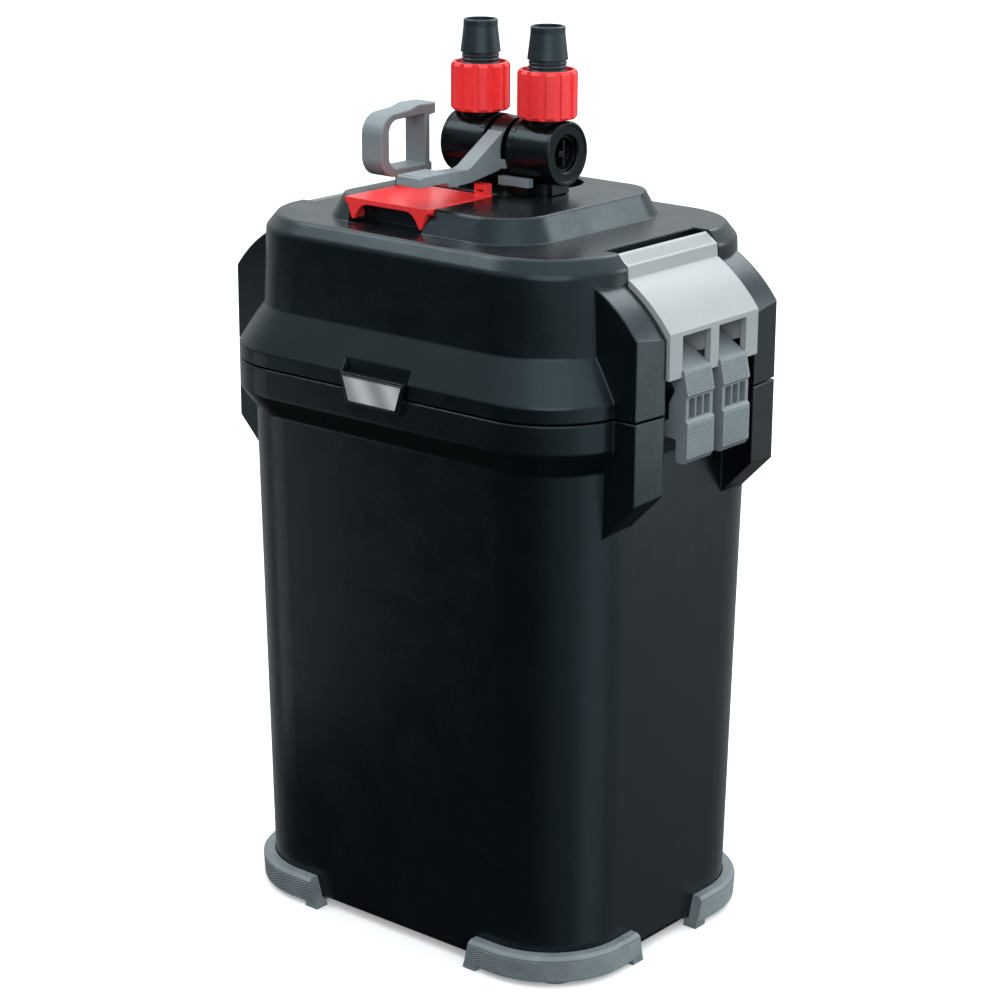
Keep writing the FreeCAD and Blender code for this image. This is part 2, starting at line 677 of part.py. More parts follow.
def make_housing():
    outside = tower("lid_outside", lid_levels(0, D.lid_top))
    for height, radius in ((D.band_z, 1.6), (D.crown_z, 4.0), (D.lid_top, 2.5)):
        outside = rounded_edges(f"lid_rounded_{height.value:.0f}", outside, radius, at_height(height))
    centre = (D.plateau_shift, 0)
    slope = D.plateau_slope
    plateau = tower(
        "plateau",
        [
            (D.plateau_x, D.plateau_y, PLATEAU_RADII, D.lid_top - 0.5),
            (D.plateau_x - slope, D.plateau_y - slope, [r - 5.5 for r in PLATEAU_RADII], D.plateau_z),
        ],
        centre,
    )
    plateau = rounded_edges("plateau_rounded", plateau, 1.2, at_height(D.plateau_z))
    pieces = [outside, plateau]
    for name, side in SIDES:
        # The cheek's side view: upright to 298, then a round shoulder up to the head's wall.
        brow = [
            (side * 88, SEAM_HIGH),
            (side * 126, SEAM_HIGH),
            (side * 126, 286.5),
            (side * 117.2, 298.3, (side * 107.2, 309.5)),
            (side * 94.5, 318.5),
            (side * 88, 322.5),
        ]
        pieces.append(cheek_pair(f"lid_cheeks_{name}", side, SEAM_HIGH, 325, brow))
    solid = join("lid_solid", pieces)

    hollow = join("lid_hollow", [
        tower("lid_inside", lid_levels(D.wall, D.lid_top - D.wall)),
        tower(
            "plateau_inside",
            [
                (D.plateau_x - 6, D.plateau_y - 6, 18, D.lid_top - 6),
                (D.plateau_x - 9.5, D.plateau_y - 9.5, 14, D.plateau_z - 3),
            ],
            centre,
        ),
    ])
    bosses = [
        block("tab_bed", (TAB_LEFT - 3.5, TAB_RIGHT + 3.5), (-64, -6), (326, 343)),
        rod("well_bed", "z", WELL, WELL_RADIUS + 3, RECESS_FLOOR - 3, 343),
        rod("primer_boss", "z", (D.primer_x, D.primer_y), 6, 319.5, 343),
    ]
    for name, side in SIDES:
        bosses.append(rod(f"socket_wall_{name}", "z", (side * D.nozzle_x, D.valve_y), 11.8, SOCKET_LOW, 343))
        bosses.append(block(f"hinge_bed_{name}", (side * 79.5, side * 100), (-36.5, 36.5), (311.5, 332)))
    for number, (x, y) in enumerate(SCREW_PLACES):
        bosses.append(rod(f"screw_boss_{number}", "z", (x, y), 4.6, 267.9, 300))
    hollow = cut("lid_hollow_kept", hollow, bosses)

    openings = [hollow]
    # Bed of the release tab, its hinge groove and the finger scoop under its lip.
    openings.append(block("tab_slot", (TAB_LEFT - 0.4, TAB_RIGHT + 0.4), (-66, -8), (338.0, 345)))
    openings.append(block("tab_groove", (TAB_LEFT - 0.4, TAB_RIGHT + 0.4), (-17.5, -8), (336.0, 345)))
    scoop = [(TAB_LEFT - 0.4, 345), (TAB_LEFT + 3.0, 330.4), (TAB_RIGHT - 3.0, 330.4), (TAB_RIGHT + 0.4, 345)]
    openings.append(prism("finger_scoop", "XZ", (-66, -49), scoop))
    openings.append(rod("tab_pin_hole", "x", (TAB_HINGE, TAB_HINGE_Z), 1.05, TAB_LEFT - 3, TAB_RIGHT + 3))
    # Round well behind the valve, the valve's two water sockets, and the primer's guide.
    openings.append(rod("hose_well", "z", WELL, WELL_RADIUS, RECESS_FLOOR, 345))
    openings.append(rod("primer_guide", "z", (D.primer_x, D.primer_y), 2.8, 300, 350))
    for name, side in SIDES:
        openings.append(rod(f"socket_{name}", "z", (side * D.nozzle_x, D.valve_y), 9.4, SOCKET_LOW - 5, 345))
        # Pocket for the clamp's hinge, open outwards and upwards, with a finger slot inboard of it.
        pocket = [
            (side * 83.5, 316.2),
            (side * 95.0, 316.2),
            (side * 99.0, 313.0),
            (side * 104, 313.0),
            (side * 104, 340),
            (side * 83.5, 340),
        ]
        openings.append(prism(f"hinge_pocket_{name}", "XZ", (-D.cheek_in, D.cheek_in), pocket))
        openings.append(
            rod(f"hinge_hole_{name}", "y", (side * D.hinge_x, D.hinge_z), 1.55, -36, 36)
        )
    # Notch in the flange for the badge, screw holes and the hole for the cord gland.
    openings.append(block("badge_notch", (-19.2, 19.2), (-92, -82.4), (255, 276.2)))
    for number, (x, y) in enumerate(SCREW_PLACES):
        openings.append(rod(f"screw_hole_{number}", "z", (x, y), 1.7, 260, 292))
    openings.append(rod("gland_hole", "y", GLAND, 5.2, 60, 95))
    node("head_housing", cut("head_housing_cut", solid, openings))


def make_chassis():
    """The plate under the head: a skirt that enters the tank, the impeller's well and its chamber."""
    well = (D.motor_x, D.motor_y)
    pieces = [
        slab("chassis_plate", D.flange_x - 5.7, D.flange_y - 6.3, 36.6, PLATE_LOW, PLATE_TOP),
        slab("chassis_skirt", D.flange_x - 7.6, D.flange_y - 7.9, 33.6, 248.5, PLATE_LOW + 0.1),
    ]
    skirt_hollow = slab("chassis_hollow", D.flange_x - 10.6, D.flange_y - 10.9, 30.6, 240, PLATE_LOW)
    chassis = cut("chassis_tray", join("chassis_blank", pieces), [skirt_hollow])
    additions = [
        chassis,
        rod("well_wall", "z", well, D.well_r + 2.4, PLATE_LOW, 310),
        rod("chamber_wall", "z", well, 24, 249.6, PLATE_LOW + 0.1),
    ]
    openings = [
        rod("well_bore", "z", well, D.well_r, 240, 307.5),
        rod("chamber_bore", "z", well, 20.5, 240, PLATE_LOW),
        block("chamber_outlet", (D.motor_x + 15, D.motor_x + 30), (D.motor_y - 5, D.motor_y + 5), (251, 260)),
    ]
    for number, (x, y) in enumerate(SCREW_PLACES):
        openings.append(rod(f"chassis_screw_hole_{number}", "z", (x, y), 2.0, 240, 280))
    openings.append(rod("primer_port", "z", (D.primer_x, D.primer_y), 4, 240, 280))
    node("head_chassis", cut("head_chassis_cut", join("chassis_solid", additions), openings))
    gasket = slab("gasket_outside", D.flange_x - 4.75, D.flange_y - 4.85, 35.7, 249.2, 255.2)
    gasket_hole = slab("gasket_inside", D.flange_x - 7.5, D.flange_y - 7.8, 33.7, 240, 260)
    node("head_gasket", cut("gasket_cut", gasket, [gasket_hole]))
    screws = []
    for number, (x, y) in enumerate(SCREW_PLACES):
        screws.append(turned(f"screw_{number}", "z", (x, y), [
            (0, PLATE_LOW - 2.5), (3.4, PLATE_LOW - 2.5), (3.4, PLATE_LOW), (1.5, PLATE_LOW),
            (1.5, 288), (0, 289.5),
        ]))
    node("head_screws", group("screw_group", screws))


def make_motor():
    well = (D.motor_x, D.motor_y)
    pole = block("pole_block", (-12, D.motor_x + 26), (D.motor_y - 19.5, D.motor_y + 19.5), (280, 300))
    legs = [
        block("core_leg_front", (-50, -10), (D.motor_y - 15, D.motor_y - 7), (280, 300)),
        block("core_leg_rear", (-50, -10), (D.motor_y + 7, D.motor_y + 15), (280, 300)),
        block("core_yoke", (-58, -48), (D.motor_y - 15, D.motor_y + 15), (280, 300)),
    ]
    bore = rod("core_bore", "z", well, D.well_r + 2.6, 270, 310)
    slots = [
        block("core_slot", (-12, D.motor_x - 12), (D.motor_y - 3, D.motor_y + 3), (270, 310)),
        block("core_air_gap", (D.motor_x + 12, D.motor_x + 30), (D.motor_y - 2, D.motor_y + 2), (270, 310)),
    ]
    node("stator_core", cut("stator_core_cut", join("core_blank", [pole, *legs]), [bore, *slots]))
    coils = []
    for name, offset in (("front", -11), ("rear", 11)):
        middle = D.motor_y + offset
        bobbin = slab(f"coil_{name}_block", 15.5, 10.2, 4, 276, 304, (-30.5, middle))
        hole = block(f"coil_{name}_hole", (-60, 0), (middle - 4.2, middle + 4.2), (279.8, 300.2))
        coils.append(cut(f"coil_{name}", bobbin, [hole]))
    node("motor_coils", group("coil_group", coils))

    magnet = turned("magnet_turned", "z", well, [(2.1, 264.5), (11.8, 264.5), (11.8, 299), (2.1, 299)])
    node("rotor_magnet", magnet)
    hub = turned("impeller_hub", "z", well, [(1.6, 253), (5, 253), (17, 261), (17, 262.2), (1.6, 262.2)])
    blades = []
    for number in range(6):
        blade = block(f"impeller_blade_{number}", (2.5, 18), (-0.8, 0.8), (253.2, 261.6))
        turn = FreeCAD.Rotation(Z, 60 * number)
        blade.Placement = FreeCAD.Placement(
            vector(*well, 253.2) + turn.multVec(V(2.5, -0.8, 0)), turn
        )
        blades.append(blade)
    sleeve = turned("impeller_sleeve", "z", well, [(1.6, 262), (2.0, 262), (2.0, 264.3), (1.6, 264.3)])
    node("impeller", cut("impeller_cut", join("impeller_solid", [hub, sleeve, *blades]), [
        rod("impeller_bore", "z", well, 1.6, 240, 300)
    ]))
    node("impeller_shaft", rod("shaft_rod", "z", well, 1.5, 248.2, 305))
    bushings = [
        turned("bushing_top", "z", well, [(1.6, 300.5), (5.5, 300.5), (5.5, 306.8), (1.6, 306.8)]),
        turned("bushing_bottom", "z", well, [(1.6, 248.4), (4.2, 248.4), (4.2, 252.2), (1.6, 252.2)]),
    ]
    node("shaft_bushings", group("bushing_group", bushings))
    cover = rod("cover_disc", "z", well, 24, 246.8, 249.4)
    openings = [rod("cover_seat", "z", well, 4.4, 248.2, 260)]
    for number in range(6):
        angle = math.radians(60 * number)
        centre = (D.motor_x + 11 * math.cos(angle), D.motor_y + 11 * math.sin(angle))
        openings.append(rod(f"cover_hole_{number}", "z", centre, 4, 240, 260))
    node("impeller_cover", cut("impeller_cover_cut", cover, openings))


def make_primer():
    """The priming pump: a fixed cylinder, and a handle, rod, piston and seal that slide together."""
    centre = (D.primer_x, D.primer_y)
    node("primer_cylinder", turned("cylinder_turned", "z", centre, [
        (3.0, 267.9), (10.8, 267.9), (10.8, 318.8), (3.0, 318.8),
        (3.0, 316.8), (9.2, 316.8), (9.2, 269.9), (3.0, 269.9),
    ]))
    node("primer_piston", turned("piston_turned", "z", centre, [
        (0, 271), (8.9, 271), (8.9, 272.6), (8.0, 272.6), (8.0, 275.0), (8.9, 275.0), (8.9, 277),
        (2.5, 277), (2.5, 344.9), (0, 344.9),
    ]))
    node("primer_seal", turned("seal_turned", "z", centre, [
        (8.05, 272.8), (9.12, 272.8), (9.12, 274.8), (8.05, 274.8),
    ]))

    # The handle is a squarish loop in the YZ plane with a thumb ledge at the top of its rear post.
    span = (D.primer_x - 6.3, D.primer_x + 6.3)
    outer = [
        (-22.5, 345.0),
        (3.0, 345.0),
        (3.0, 348.4),
        (1.6, 349.6),
        (1.6, 370.4),
        (5.6, 371.0),
        (5.6, 376.0),
        (-6.0, 376.2),
        (-12.0, 374.6),
        (-21.5, 373.9, (-28.6, 371.1)),
        (-31.6, 364.0),
        (-31.6, 354.2, (-28.9, 347.7)),
    ]
    inner = [
        (-19.8, 348.6),
        (-1.8, 348.6),
        (-1.8, 371.2),
        (-20.2, 370.9, (-24.4, 369.2)),
        (-26.2, 365.0),
        (-26.2, 354.4, (-24.4, 350.3)),
    ]
    loop = cut("handle_loop", prism("handle_outside", "YZ", span, outer),
               [prism("handle_opening", "YZ", (span[0] - 1, span[1] + 1), inner)])

    def along_x(edge):
        return abs(edge.BoundBox.XLength) < 0.01

    node("primer_handle", rounded_edges("handle_soft", loop, 0.8, along_x))


# ---------------------------------------------------------------- the hose valve

FOOT_LOW = 341.4
PLATE_FOOT = 345.1


def make_valve():
    axis = (D.valve_y, D.valve_z)
    solid = [
        block("valve_bridge", (-14, 14), (11, 17), (FOOT_LOW, 345.2)),
        block("lock_bracket", (8.0, 18.5), (-5.0, 4.0), (FOOT_LOW, PLATE_FOOT)),
    ]
    openings = []
    for name, side in SIDES:
        centre = (side * D.nozzle_x, D.valve_y)
        start, end = sorted((side * 7.2, side * D.barrel_end.value))
        solid.append(rod(f"barrel_{name}", "x", axis, D.barrel_r, start, end))
        solid.append(block(f"valve_foot_{name}", (side * 11, side * 27.5), (3, 15), (FOOT_LOW, 350)))
        solid.append(rod(f"spigot_{name}", "z", centre, 8.0, 317, 346))
        solid.append(rod(f"riser_{name}", "z", centre, 8.6, 366, D.nut_low - 0.2))
        start, end = sorted((side * 9.0, side * 31.0))
        openings.append(rod(f"barrel_bore_{name}", "x", axis, D.rotor_r + 0.3, start, end))
        start, end = sorted((side * 5.0, side * 12.0))
        openings.append(rod(f"barrel_eye_{name}", "x", axis, 6.3, start, end))
        openings.append(rod(f"passage_{name}", "z", centre, D.bore_r, 310, 380))
    node("valve_body", cut("valve_body_cut", join("valve_solid", solid), openings))

    seals = [
        ring(f"spigot_seal_{name}", 8.5, 0.45, (side * D.nozzle_x, D.valve_y), 322)
        for name, side in SIDES
    ]
    node("spigot_seals", group("spigot_seal_group", seals))
    node("valve_lock_plate", block("lock_plate_block", (3.0, 20.3), (-5.2, -1.6), (PLATE_FOOT, 348.9)))

    for name, side in SIDES:
        # The cap is a stepped ring; its open middle shows the end of the rotor.
        face = D.barrel_end
        profile = [
            (8.1, face + 0.05),
            (D.barrel_r + 0.1, face + 0.05),
            (D.barrel_r + 0.1, face + 1.3),
            (D.barrel_r - 0.6, face + 2.0),
            (D.barrel_r - 1.6, face + 2.0),
            (D.barrel_r - 1.9, face + 1.5),
            (8.9, face + 1.5),
            (8.1, face + 0.8),
        ]
        mirrored = [(radius, side * as_size(place)) for radius, place in profile]
        node(f"valve_end_cap_{name}", turned(f"end_cap_turned_{name}", "x", axis, mirrored))

        start, end = sorted((side * 9.4, side * (D.barrel_end.value - 0.4)))
        plug = rod(f"rotor_plug_{name}", "x", axis, D.rotor_r, start, end)
        way = rod(f"rotor_way_{name}", "z", (side * D.nozzle_x, D.valve_y), D.bore_r, 340, 380)
        face_x = side * (D.barrel_end.value - 0.4)
        dish = sorted((face_x - side * 3.2, face_x + side * 1))
        cup = cut(
            f"rotor_dish_{name}",
            rod(f"rotor_dish_blank_{name}", "x", axis, 7.2, *dish),
            [
                block(f"rotor_key_{name}", dish,
                      (D.valve_y - 0.6, D.valve_y + 0.6), (D.valve_z - 6, D.valve_z + 6)),
                block(f"rotor_stub_{name}", dish,
                      (D.valve_y - 3.4, D.valve_y), (D.valve_z - 1.2, D.valve_z + 1.2)),
            ],
        )
        node(f"valve_rotor_{name}", cut(f"valve_rotor_cut_{name}", plug, [way, cup]))
        make_nozzle(name, side)
        make_lock_nut(name, side)


def make_nozzle(name, side):
    """A tapered hose tail over a threaded stem, with a short straight land at its tip."""
    low = D.nut_low
    profile = [
        (D.bore_r, low),
        (9.3, low),
        (9.3, D.nut_top - 3.0),
        (8.2, D.nut_top - 2.4),
        *[
            (radius, D.nut_top + height + rise)
            for height in (-1.2, 0.5, 2.2)
            for radius, rise in ((8.2, 0.0), (8.6, 0.5), (8.6, 0.8), (8.2, 1.3))
        ],
        (8.2, D.nut_top + 4.2),
        (9.15, D.nut_top + 4.4),
        (7.8, D.nozzle_top - 3.2),
        (7.8, D.nozzle_top - 0.5),
        (7.3, D.nozzle_top),
        (D.bore_r, D.nozzle_top),
    ]
    centre = (side * D.nozzle_x, D.valve_y)
    node(f"hose_nozzle_{name}", turned(f"nozzle_turned_{name}", "z", centre, profile))


def make_lock_nut(name, side):
    """A knurled nut, drawn as a body: one turned blank and one groove patterned round it."""
    body = doc.addObject("PartDesign::Body", f"nut_{name}")
    planes = {item.Role: item for item in body.Origin.OriginFeatures}
    profile = body.newObject("Sketcher::SketchObject", f"nut_profile_{name}")
    profile.AttachmentSupport = (planes["XZ_Plane"], [""])
    profile.MapMode = "FlatFace"
    tall = D.nut_top - D.nut_low
    draw_outline(profile, [
        (9.7, 0.0),
        (D.nut_r - 1.0, 0.0),
        (D.nut_r, 1.2),
        (D.nut_r, tall - 1.4),
        (D.nut_r - 1.0, tall),
        (11.4, tall),
        (11.0, tall - 3.0),
        (9.7, tall - 3.0),
    ])
    blank = body.newObject("PartDesign::Revolution", f"nut_blank_{name}")
    blank.Profile = profile
    blank.ReferenceAxis = (profile, ["V_Axis"])
    blank.Angle = 360
    groove = body.newObject("Sketcher::SketchObject", f"nut_groove_{name}")
    groove.AttachmentSupport = (planes["XY_Plane"], [""])
    groove.MapMode = "FlatFace"
    draw_outline(groove, [
        (D.nut_r - 0.9, -1.3),
        (D.nut_r + 1.0, -1.75),
        (D.nut_r + 1.0, 1.75),
        (D.nut_r - 0.9, 1.3),
    ])
    notch = body.newObject("PartDesign::Pocket", f"nut_notch_{name}")
    notch.Profile = groove
    notch.Length = 60
    notch.Midplane = True
    doc.recompute()
    pattern = body.newObject("PartDesign::PolarPattern", f"nut_grooves_{name}")
    pattern.Originals = [notch]
    pattern.Axis = (profile, ["V_Axis"])
    pattern.Angle = 360
    pattern.Occurrences = 12
    body.Tip = pattern
    body.Placement.Base = vector(side * D.nozzle_x, D.valve_y, D.nut_low)
    bind(body, "Placement.Base.x", side * D.nozzle_x)
    bind(body, "Placement.Base.y", D.valve_y)
    bind(body, "Placement.Base.z", D.nut_low)
    node(f"lock_nut_{name}", body)


def make_lever():
    """The shut-off lever: a hub between the barrels, and a sloping web that ends in a thumb pad."""
    axis = (D.valve_y, D.valve_z)
    web = [
        (-44.0, 355.2),
        (-28.0, 354.5),
        (-25.0, 355.4),
        (-3.2, 368.6),
        (4.0, 366.0),
        (4.0, 354.0),
        (-7.2, 351.3),
        (-25.8, 348.5),
        (-39.4, 348.3),
        (-44.0, 351.6),
    ]
    hub = rod("hub_barrel", "x", axis, D.barrel_r - 0.3, -4.4, 4.4)
    shaft = rod("hub_shaft", "x", axis, 6.0, -9.2, 9.2)
    node("lever_hub", join("lever_hub_solid", [hub, shaft]))
    pad = [(-62.6, 351.6), (-61.8, 355.2), (-60.8, 355.8), (-43.0, 355.8), (-43.0, 351.4)]
    pieces = [
        prism("lever_web", "YZ", (-4.2, 4.2), web),
        prism("lever_pad", "YZ", (-7.0, 7.0), pad),
        block("lever_lug", (4.0, 6.8), (-5.4, -1.0), (352.4, 356.4)),
    ]
    seat = rod("lever_seat", "x", axis, D.barrel_r - 0.25, -8, 8)
    node("valve_lever", cut("valve_lever_cut", join("valve_lever_solid", pieces), [seat]))


def make_tab():
    """The release tab: a thin plate hinged at the back, with a lip whose two ends are drawn down to points."""
    plate = block("tab_plate", (TAB_LEFT, TAB_RIGHT), (TAB_FRONT, TAB_HINGE), (338.3, 341.3))
    lip = [
        (TAB_LEFT, 341.3),
        (TAB_LEFT, 339.4),
        (TAB_LEFT + 1.6, 338.2),
        (TAB_LEFT + 3.9, 331.9),
        (TAB_LEFT + 5.2, 331.9),
        (TAB_LEFT + 7.2, 335.2, (TAB_LEFT + 9.8, 337.9)),
        (TAB_LEFT + 14.0, 339.0),
        (TAB_RIGHT - 14.0, 339.0, (TAB_RIGHT - 9.8, 337.9)),
        (TAB_RIGHT - 7.2, 335.2),
        (TAB_RIGHT - 5.2, 331.9),
        (TAB_RIGHT - 3.9, 331.9),
        (TAB_RIGHT - 1.6, 338.2),
        (TAB_RIGHT, 339.4),
        (TAB_RIGHT, 341.3),
    ]
    pieces = [plate, prism("tab_lip", "XZ", (TAB_FRONT - 2.6, TAB_FRONT + 0.2), lip)]
    for name, edge, side in (("left", TAB_LEFT, 1), ("right", TAB_RIGHT, -1)):
        wing = [
            (edge + side * 1.8, 338.6),
            (edge + side * 4.0, 332.4),
            (edge + side * 5.4, 332.4),
            (edge + side * 4.4, 338.6),
        ]
        pieces.append(prism(f"tab_wing_{name}", "XZ", (TAB_FRONT - 1, TAB_FRONT + 4.5), wing))
    pieces.append(block("tab_latch", (-1.0, 5.6), (-17.0, -12.6), (341.0, 346.6)))
    pieces.append(rod("tab_knuckle", "x", (TAB_HINGE, TAB_HINGE_Z), 2.3, TAB_LEFT, TAB_RIGHT))
    slot = block("tab_latch_slot", (0.4, 4.2), (-20, -8), (343.0, 344.2))
    hole = rod("tab_hole", "x", (TAB_HINGE, TAB_HINGE_Z), 1.05, TAB_LEFT - 5, TAB_RIGHT + 5)
    node("release_tab", cut("release_tab_cut", join("tab_solid", pieces), [slot, hole]))
    node("tab_pin", rod("tab_pin_rod", "x", (TAB_HINGE, TAB_HINGE_Z), 1.0, TAB_LEFT - 2.5, TAB_RIGHT + 2.5))


def make_gland():
    """A grommet in the back wall, which the power cord leaves through."""
    barrel = rod("gland_barrel", "y", GLAND, 5.0, 70, 87.4)
    flange = rod("gland_flange", "y", GLAND, 7.5, 76.9, 79.2)
    inner = rod("gland_inner", "y", GLAND, 7.0, 69.6, 72.2)
    bore = rod("gland_bore", "y", GLAND, 3.6, 60, 95)
    node("cord_gland", cut("gland_cut", join("gland_solid", [barrel, flange, inner]), [bore]))


# ---------------------------------------------------------------- the clamps


def make_clamp(name, side):
    """A clamp: a curved panel on a top hinge, with two hooked arms pivoted behind its windows."""
    def mirrored(points):
        return [
            (side * as_size(p[0]), p[1], (side * as_size(p[2][0]), p[2][1])) if len(p) > 2
            else (side * as_size(p[0]), p[1])
            for p in points
        ]

    half = D.panel_half
    section = mirrored([
        (90.8, 329.6),
        (97.0, 325.0),
        (97.5, 319.4, (110.2, 309.9)),
        (D.panel_x, 299.0),
        (D.panel_x, 278.8),
        (D.panel_x - D.panel_thick, 278.8),
        (D.panel_x - D.panel_thick, 297.8, (107.6, 308.2)),
        (96.0, 316.9),
        (91.5, 321.5),
        (89.8, 326.5),
    ])
    shell = prism(f"clamp_shell_{name}", "XZ", (-half, half), section)
    knuckle = rod(f"clamp_knuckle_{name}", "y", (side * D.hinge_x, D.hinge_z), 2.9, -half, half)
    ribs = []
    for number, (low, high) in enumerate(((-27.6, -24.2), (-2.7, 2.7), (24.2, 27.6))):
        rib = mirrored([
            (102.4, 287.5),
            (103.4, 284.4),
            (106.5, 283.4),
            (D.panel_x - 1.0, 288.0),
            (D.panel_x - 1.0, 299.0),
            (109.0, 309.6),
            (102.9, 290.0),
        ])
        ribs.append(prism(f"clamp_rib_{name}_{number}", "XZ", (low, high), rib))
    solid = join(f"clamp_solid_{name}", [shell, knuckle, *ribs])
    windows = []
    for end, sign in ENDS:
        window = (sign * (D.arm_in - 0.4), sign * (D.arm_out + 0.3))
        windows.append(block(f"clamp_window_{name}_{end}", (side * 112, side * 125), window, (270, 296.9)))
    holes = [
        rod(f"clamp_eye_{name}", "y", (side * D.hinge_x, D.hinge_z), 1.55, -40, 40),
        rod(f"clamp_pivot_{name}", "y", (side * D.pivot_x, D.pivot_z), 1.5, -30, 30),
    ]
    node(f"clamp_panel_{name}", cut(f"clamp_panel_cut_{name}", solid, [*windows, *holes]))
    hinge = (side * D.hinge_x, D.hinge_z)
    pivot = (side * D.pivot_x, D.pivot_z)
    hinge_pins.append(rod(f"hinge_rod_{name}", "y", hinge, 1.5, -35.8, 35.8))
    node(f"arm_pin_{name}", rod(f"arm_rod_{name}", "y", pivot, 1.45, -27.6, 27.6))

    springs = []
    for end, sign in ENDS:
        start, finish = sorted((sign * 9.6, sign * 17.0))
        springs.append(turned_spring(f"arm_spring_{name}_{end}", side, start, finish))
        make_arm(f"clamp_arm_{name}_{end}", side, sign)
    node(f"arm_springs_{name}", group(f"arm_spring_group_{name}", springs))


def turned_spring(label, side, start, finish):
    """A coiled arm spring as the sleeve that its wire fills."""
    outside = rod(f"{label}_outside", "y", (side * D.pivot_x, D.pivot_z), 2.35, start, finish)
    inside = rod(f"{label}_inside", "y", (side * D.pivot_x, D.pivot_z), 1.6, start - 1, finish + 1)
    return cut(label, outside, [inside])


def make_arm(name, side, sign):
    """A hooked arm: a boss on the pivot, a ramp out through the window, and a nose under the rim catch."""
    slope = math.tan(math.radians(30))
    catch_top = D.catch_low.value - 0.55
    profile = [
        (104.2, 290.8),
        (120.9, 281.4),
        (123.1, 270.9),
        (122.2, 269.8),
        (122.2, 259.9),
        (123.3, 258.9),
        (123.3, 243.2),
        (121.6, 240.7),
        (117.9, 240.7),
        (117.2, 242.0),
        (117.2, 251.0),
        (110.4, 251.6),
        (108.4, catch_top + 1.4 * slope),
        (113.2, catch_top + 6.2 * slope),
        (113.2, 266.5),
        (116.2, 272.5),
        (110.8, 280.6),
        (106.5, 283.3),
        (104.3, 284.6),
        (103.2, 287.5),
    ]
    points = [(side * x, z) for x, z in profile]
    start, finish = sorted((sign * D.arm_in.value, sign * D.arm_out.value))
    blank = prism(f"{name}_blank", "XZ", (start, finish), points)
    slots = []
    for number in range(3):
        low = start + 2.2 + number * 5.4
        slots.append(
            block(f"{name}_slot_{number}", (side * 119.2, side * 130), (low, low + 4.4), (260.4, 269.2))
        )
    eye = rod(f"{name}_eye", "y", (side * D.pivot_x, D.pivot_z), 1.52, start - 1, finish + 1)
    spring_room = sorted((sign * 9.2, sign * 17.4))
    room = rod(f"{name}_spring_room", "y", (side * D.pivot_x, D.pivot_z), 2.65, *spring_room)
    node(name, cut(f"{name}_cut", blank, [*slots, eye, room]))


# ---------------------------------------------------------------- build, check, write

make_tank()
make_catches()
for end_name, end_sign in ENDS:
    for side_name, side_sign in SIDES:
        make_foot(f"foot_{end_name}_{side_name}", side_sign, end_sign)
make_media()
make_housing()
make_chassis()
make_motor()
make_primer()
make_valve()
make_lever()
make_tab()
make_gland()
hinge_pins = []
for side_name, side_sign in SIDES:
    make_clamp(side_name, side_sign)
node("clamp_hinge_pins", group("hinge_pin_pair", hinge_pins))

doc.recompute()
faults = [item.Label for item in doc.Objects if {"Invalid", "Error"} & set(item.State)]
for name, item in nodes.items():
    if item.Shape.isNull() or not item.Shape.isValid() or not item.Shape.Solids:
        faults.append(name)
if faults:
    raise SystemExit(f"these did not build: {sorted(set(faults))}")
for name, item in nodes.items():
    item.Shape.exportStep(os.path.join("parts", f"{name}.step"))
print(f"{len(nodes)} nodes written")
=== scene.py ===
import json
import math

import bpy
import bmesh
from mathutils import Matrix, Vector, noise


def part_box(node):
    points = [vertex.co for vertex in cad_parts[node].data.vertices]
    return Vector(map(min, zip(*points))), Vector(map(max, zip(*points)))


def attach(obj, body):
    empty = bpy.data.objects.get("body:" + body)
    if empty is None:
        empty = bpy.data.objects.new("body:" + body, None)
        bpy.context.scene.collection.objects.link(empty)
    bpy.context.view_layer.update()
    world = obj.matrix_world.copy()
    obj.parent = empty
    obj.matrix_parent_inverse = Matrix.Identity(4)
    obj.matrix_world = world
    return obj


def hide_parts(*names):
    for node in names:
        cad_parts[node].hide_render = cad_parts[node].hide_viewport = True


# Looks of the canister filter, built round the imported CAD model. Everything is in metres in the row frame:
# +Z up, the front faces -Y, and the two clamps are at -X (left) and +X (right).

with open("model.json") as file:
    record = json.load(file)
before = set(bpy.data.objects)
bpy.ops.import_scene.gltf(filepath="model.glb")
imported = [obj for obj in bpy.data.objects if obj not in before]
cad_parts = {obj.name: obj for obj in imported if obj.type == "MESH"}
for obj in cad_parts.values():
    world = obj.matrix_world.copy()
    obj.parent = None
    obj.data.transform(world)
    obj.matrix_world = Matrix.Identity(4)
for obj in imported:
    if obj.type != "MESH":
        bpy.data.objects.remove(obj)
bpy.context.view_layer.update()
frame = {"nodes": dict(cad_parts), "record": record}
scene = bpy.context.scene
MM = 0.001
SIDES = (("left", -1), ("right", 1))
ENDS = (("front", -1), ("rear", 1))

# ---------------------------------------------------------------- shader helpers


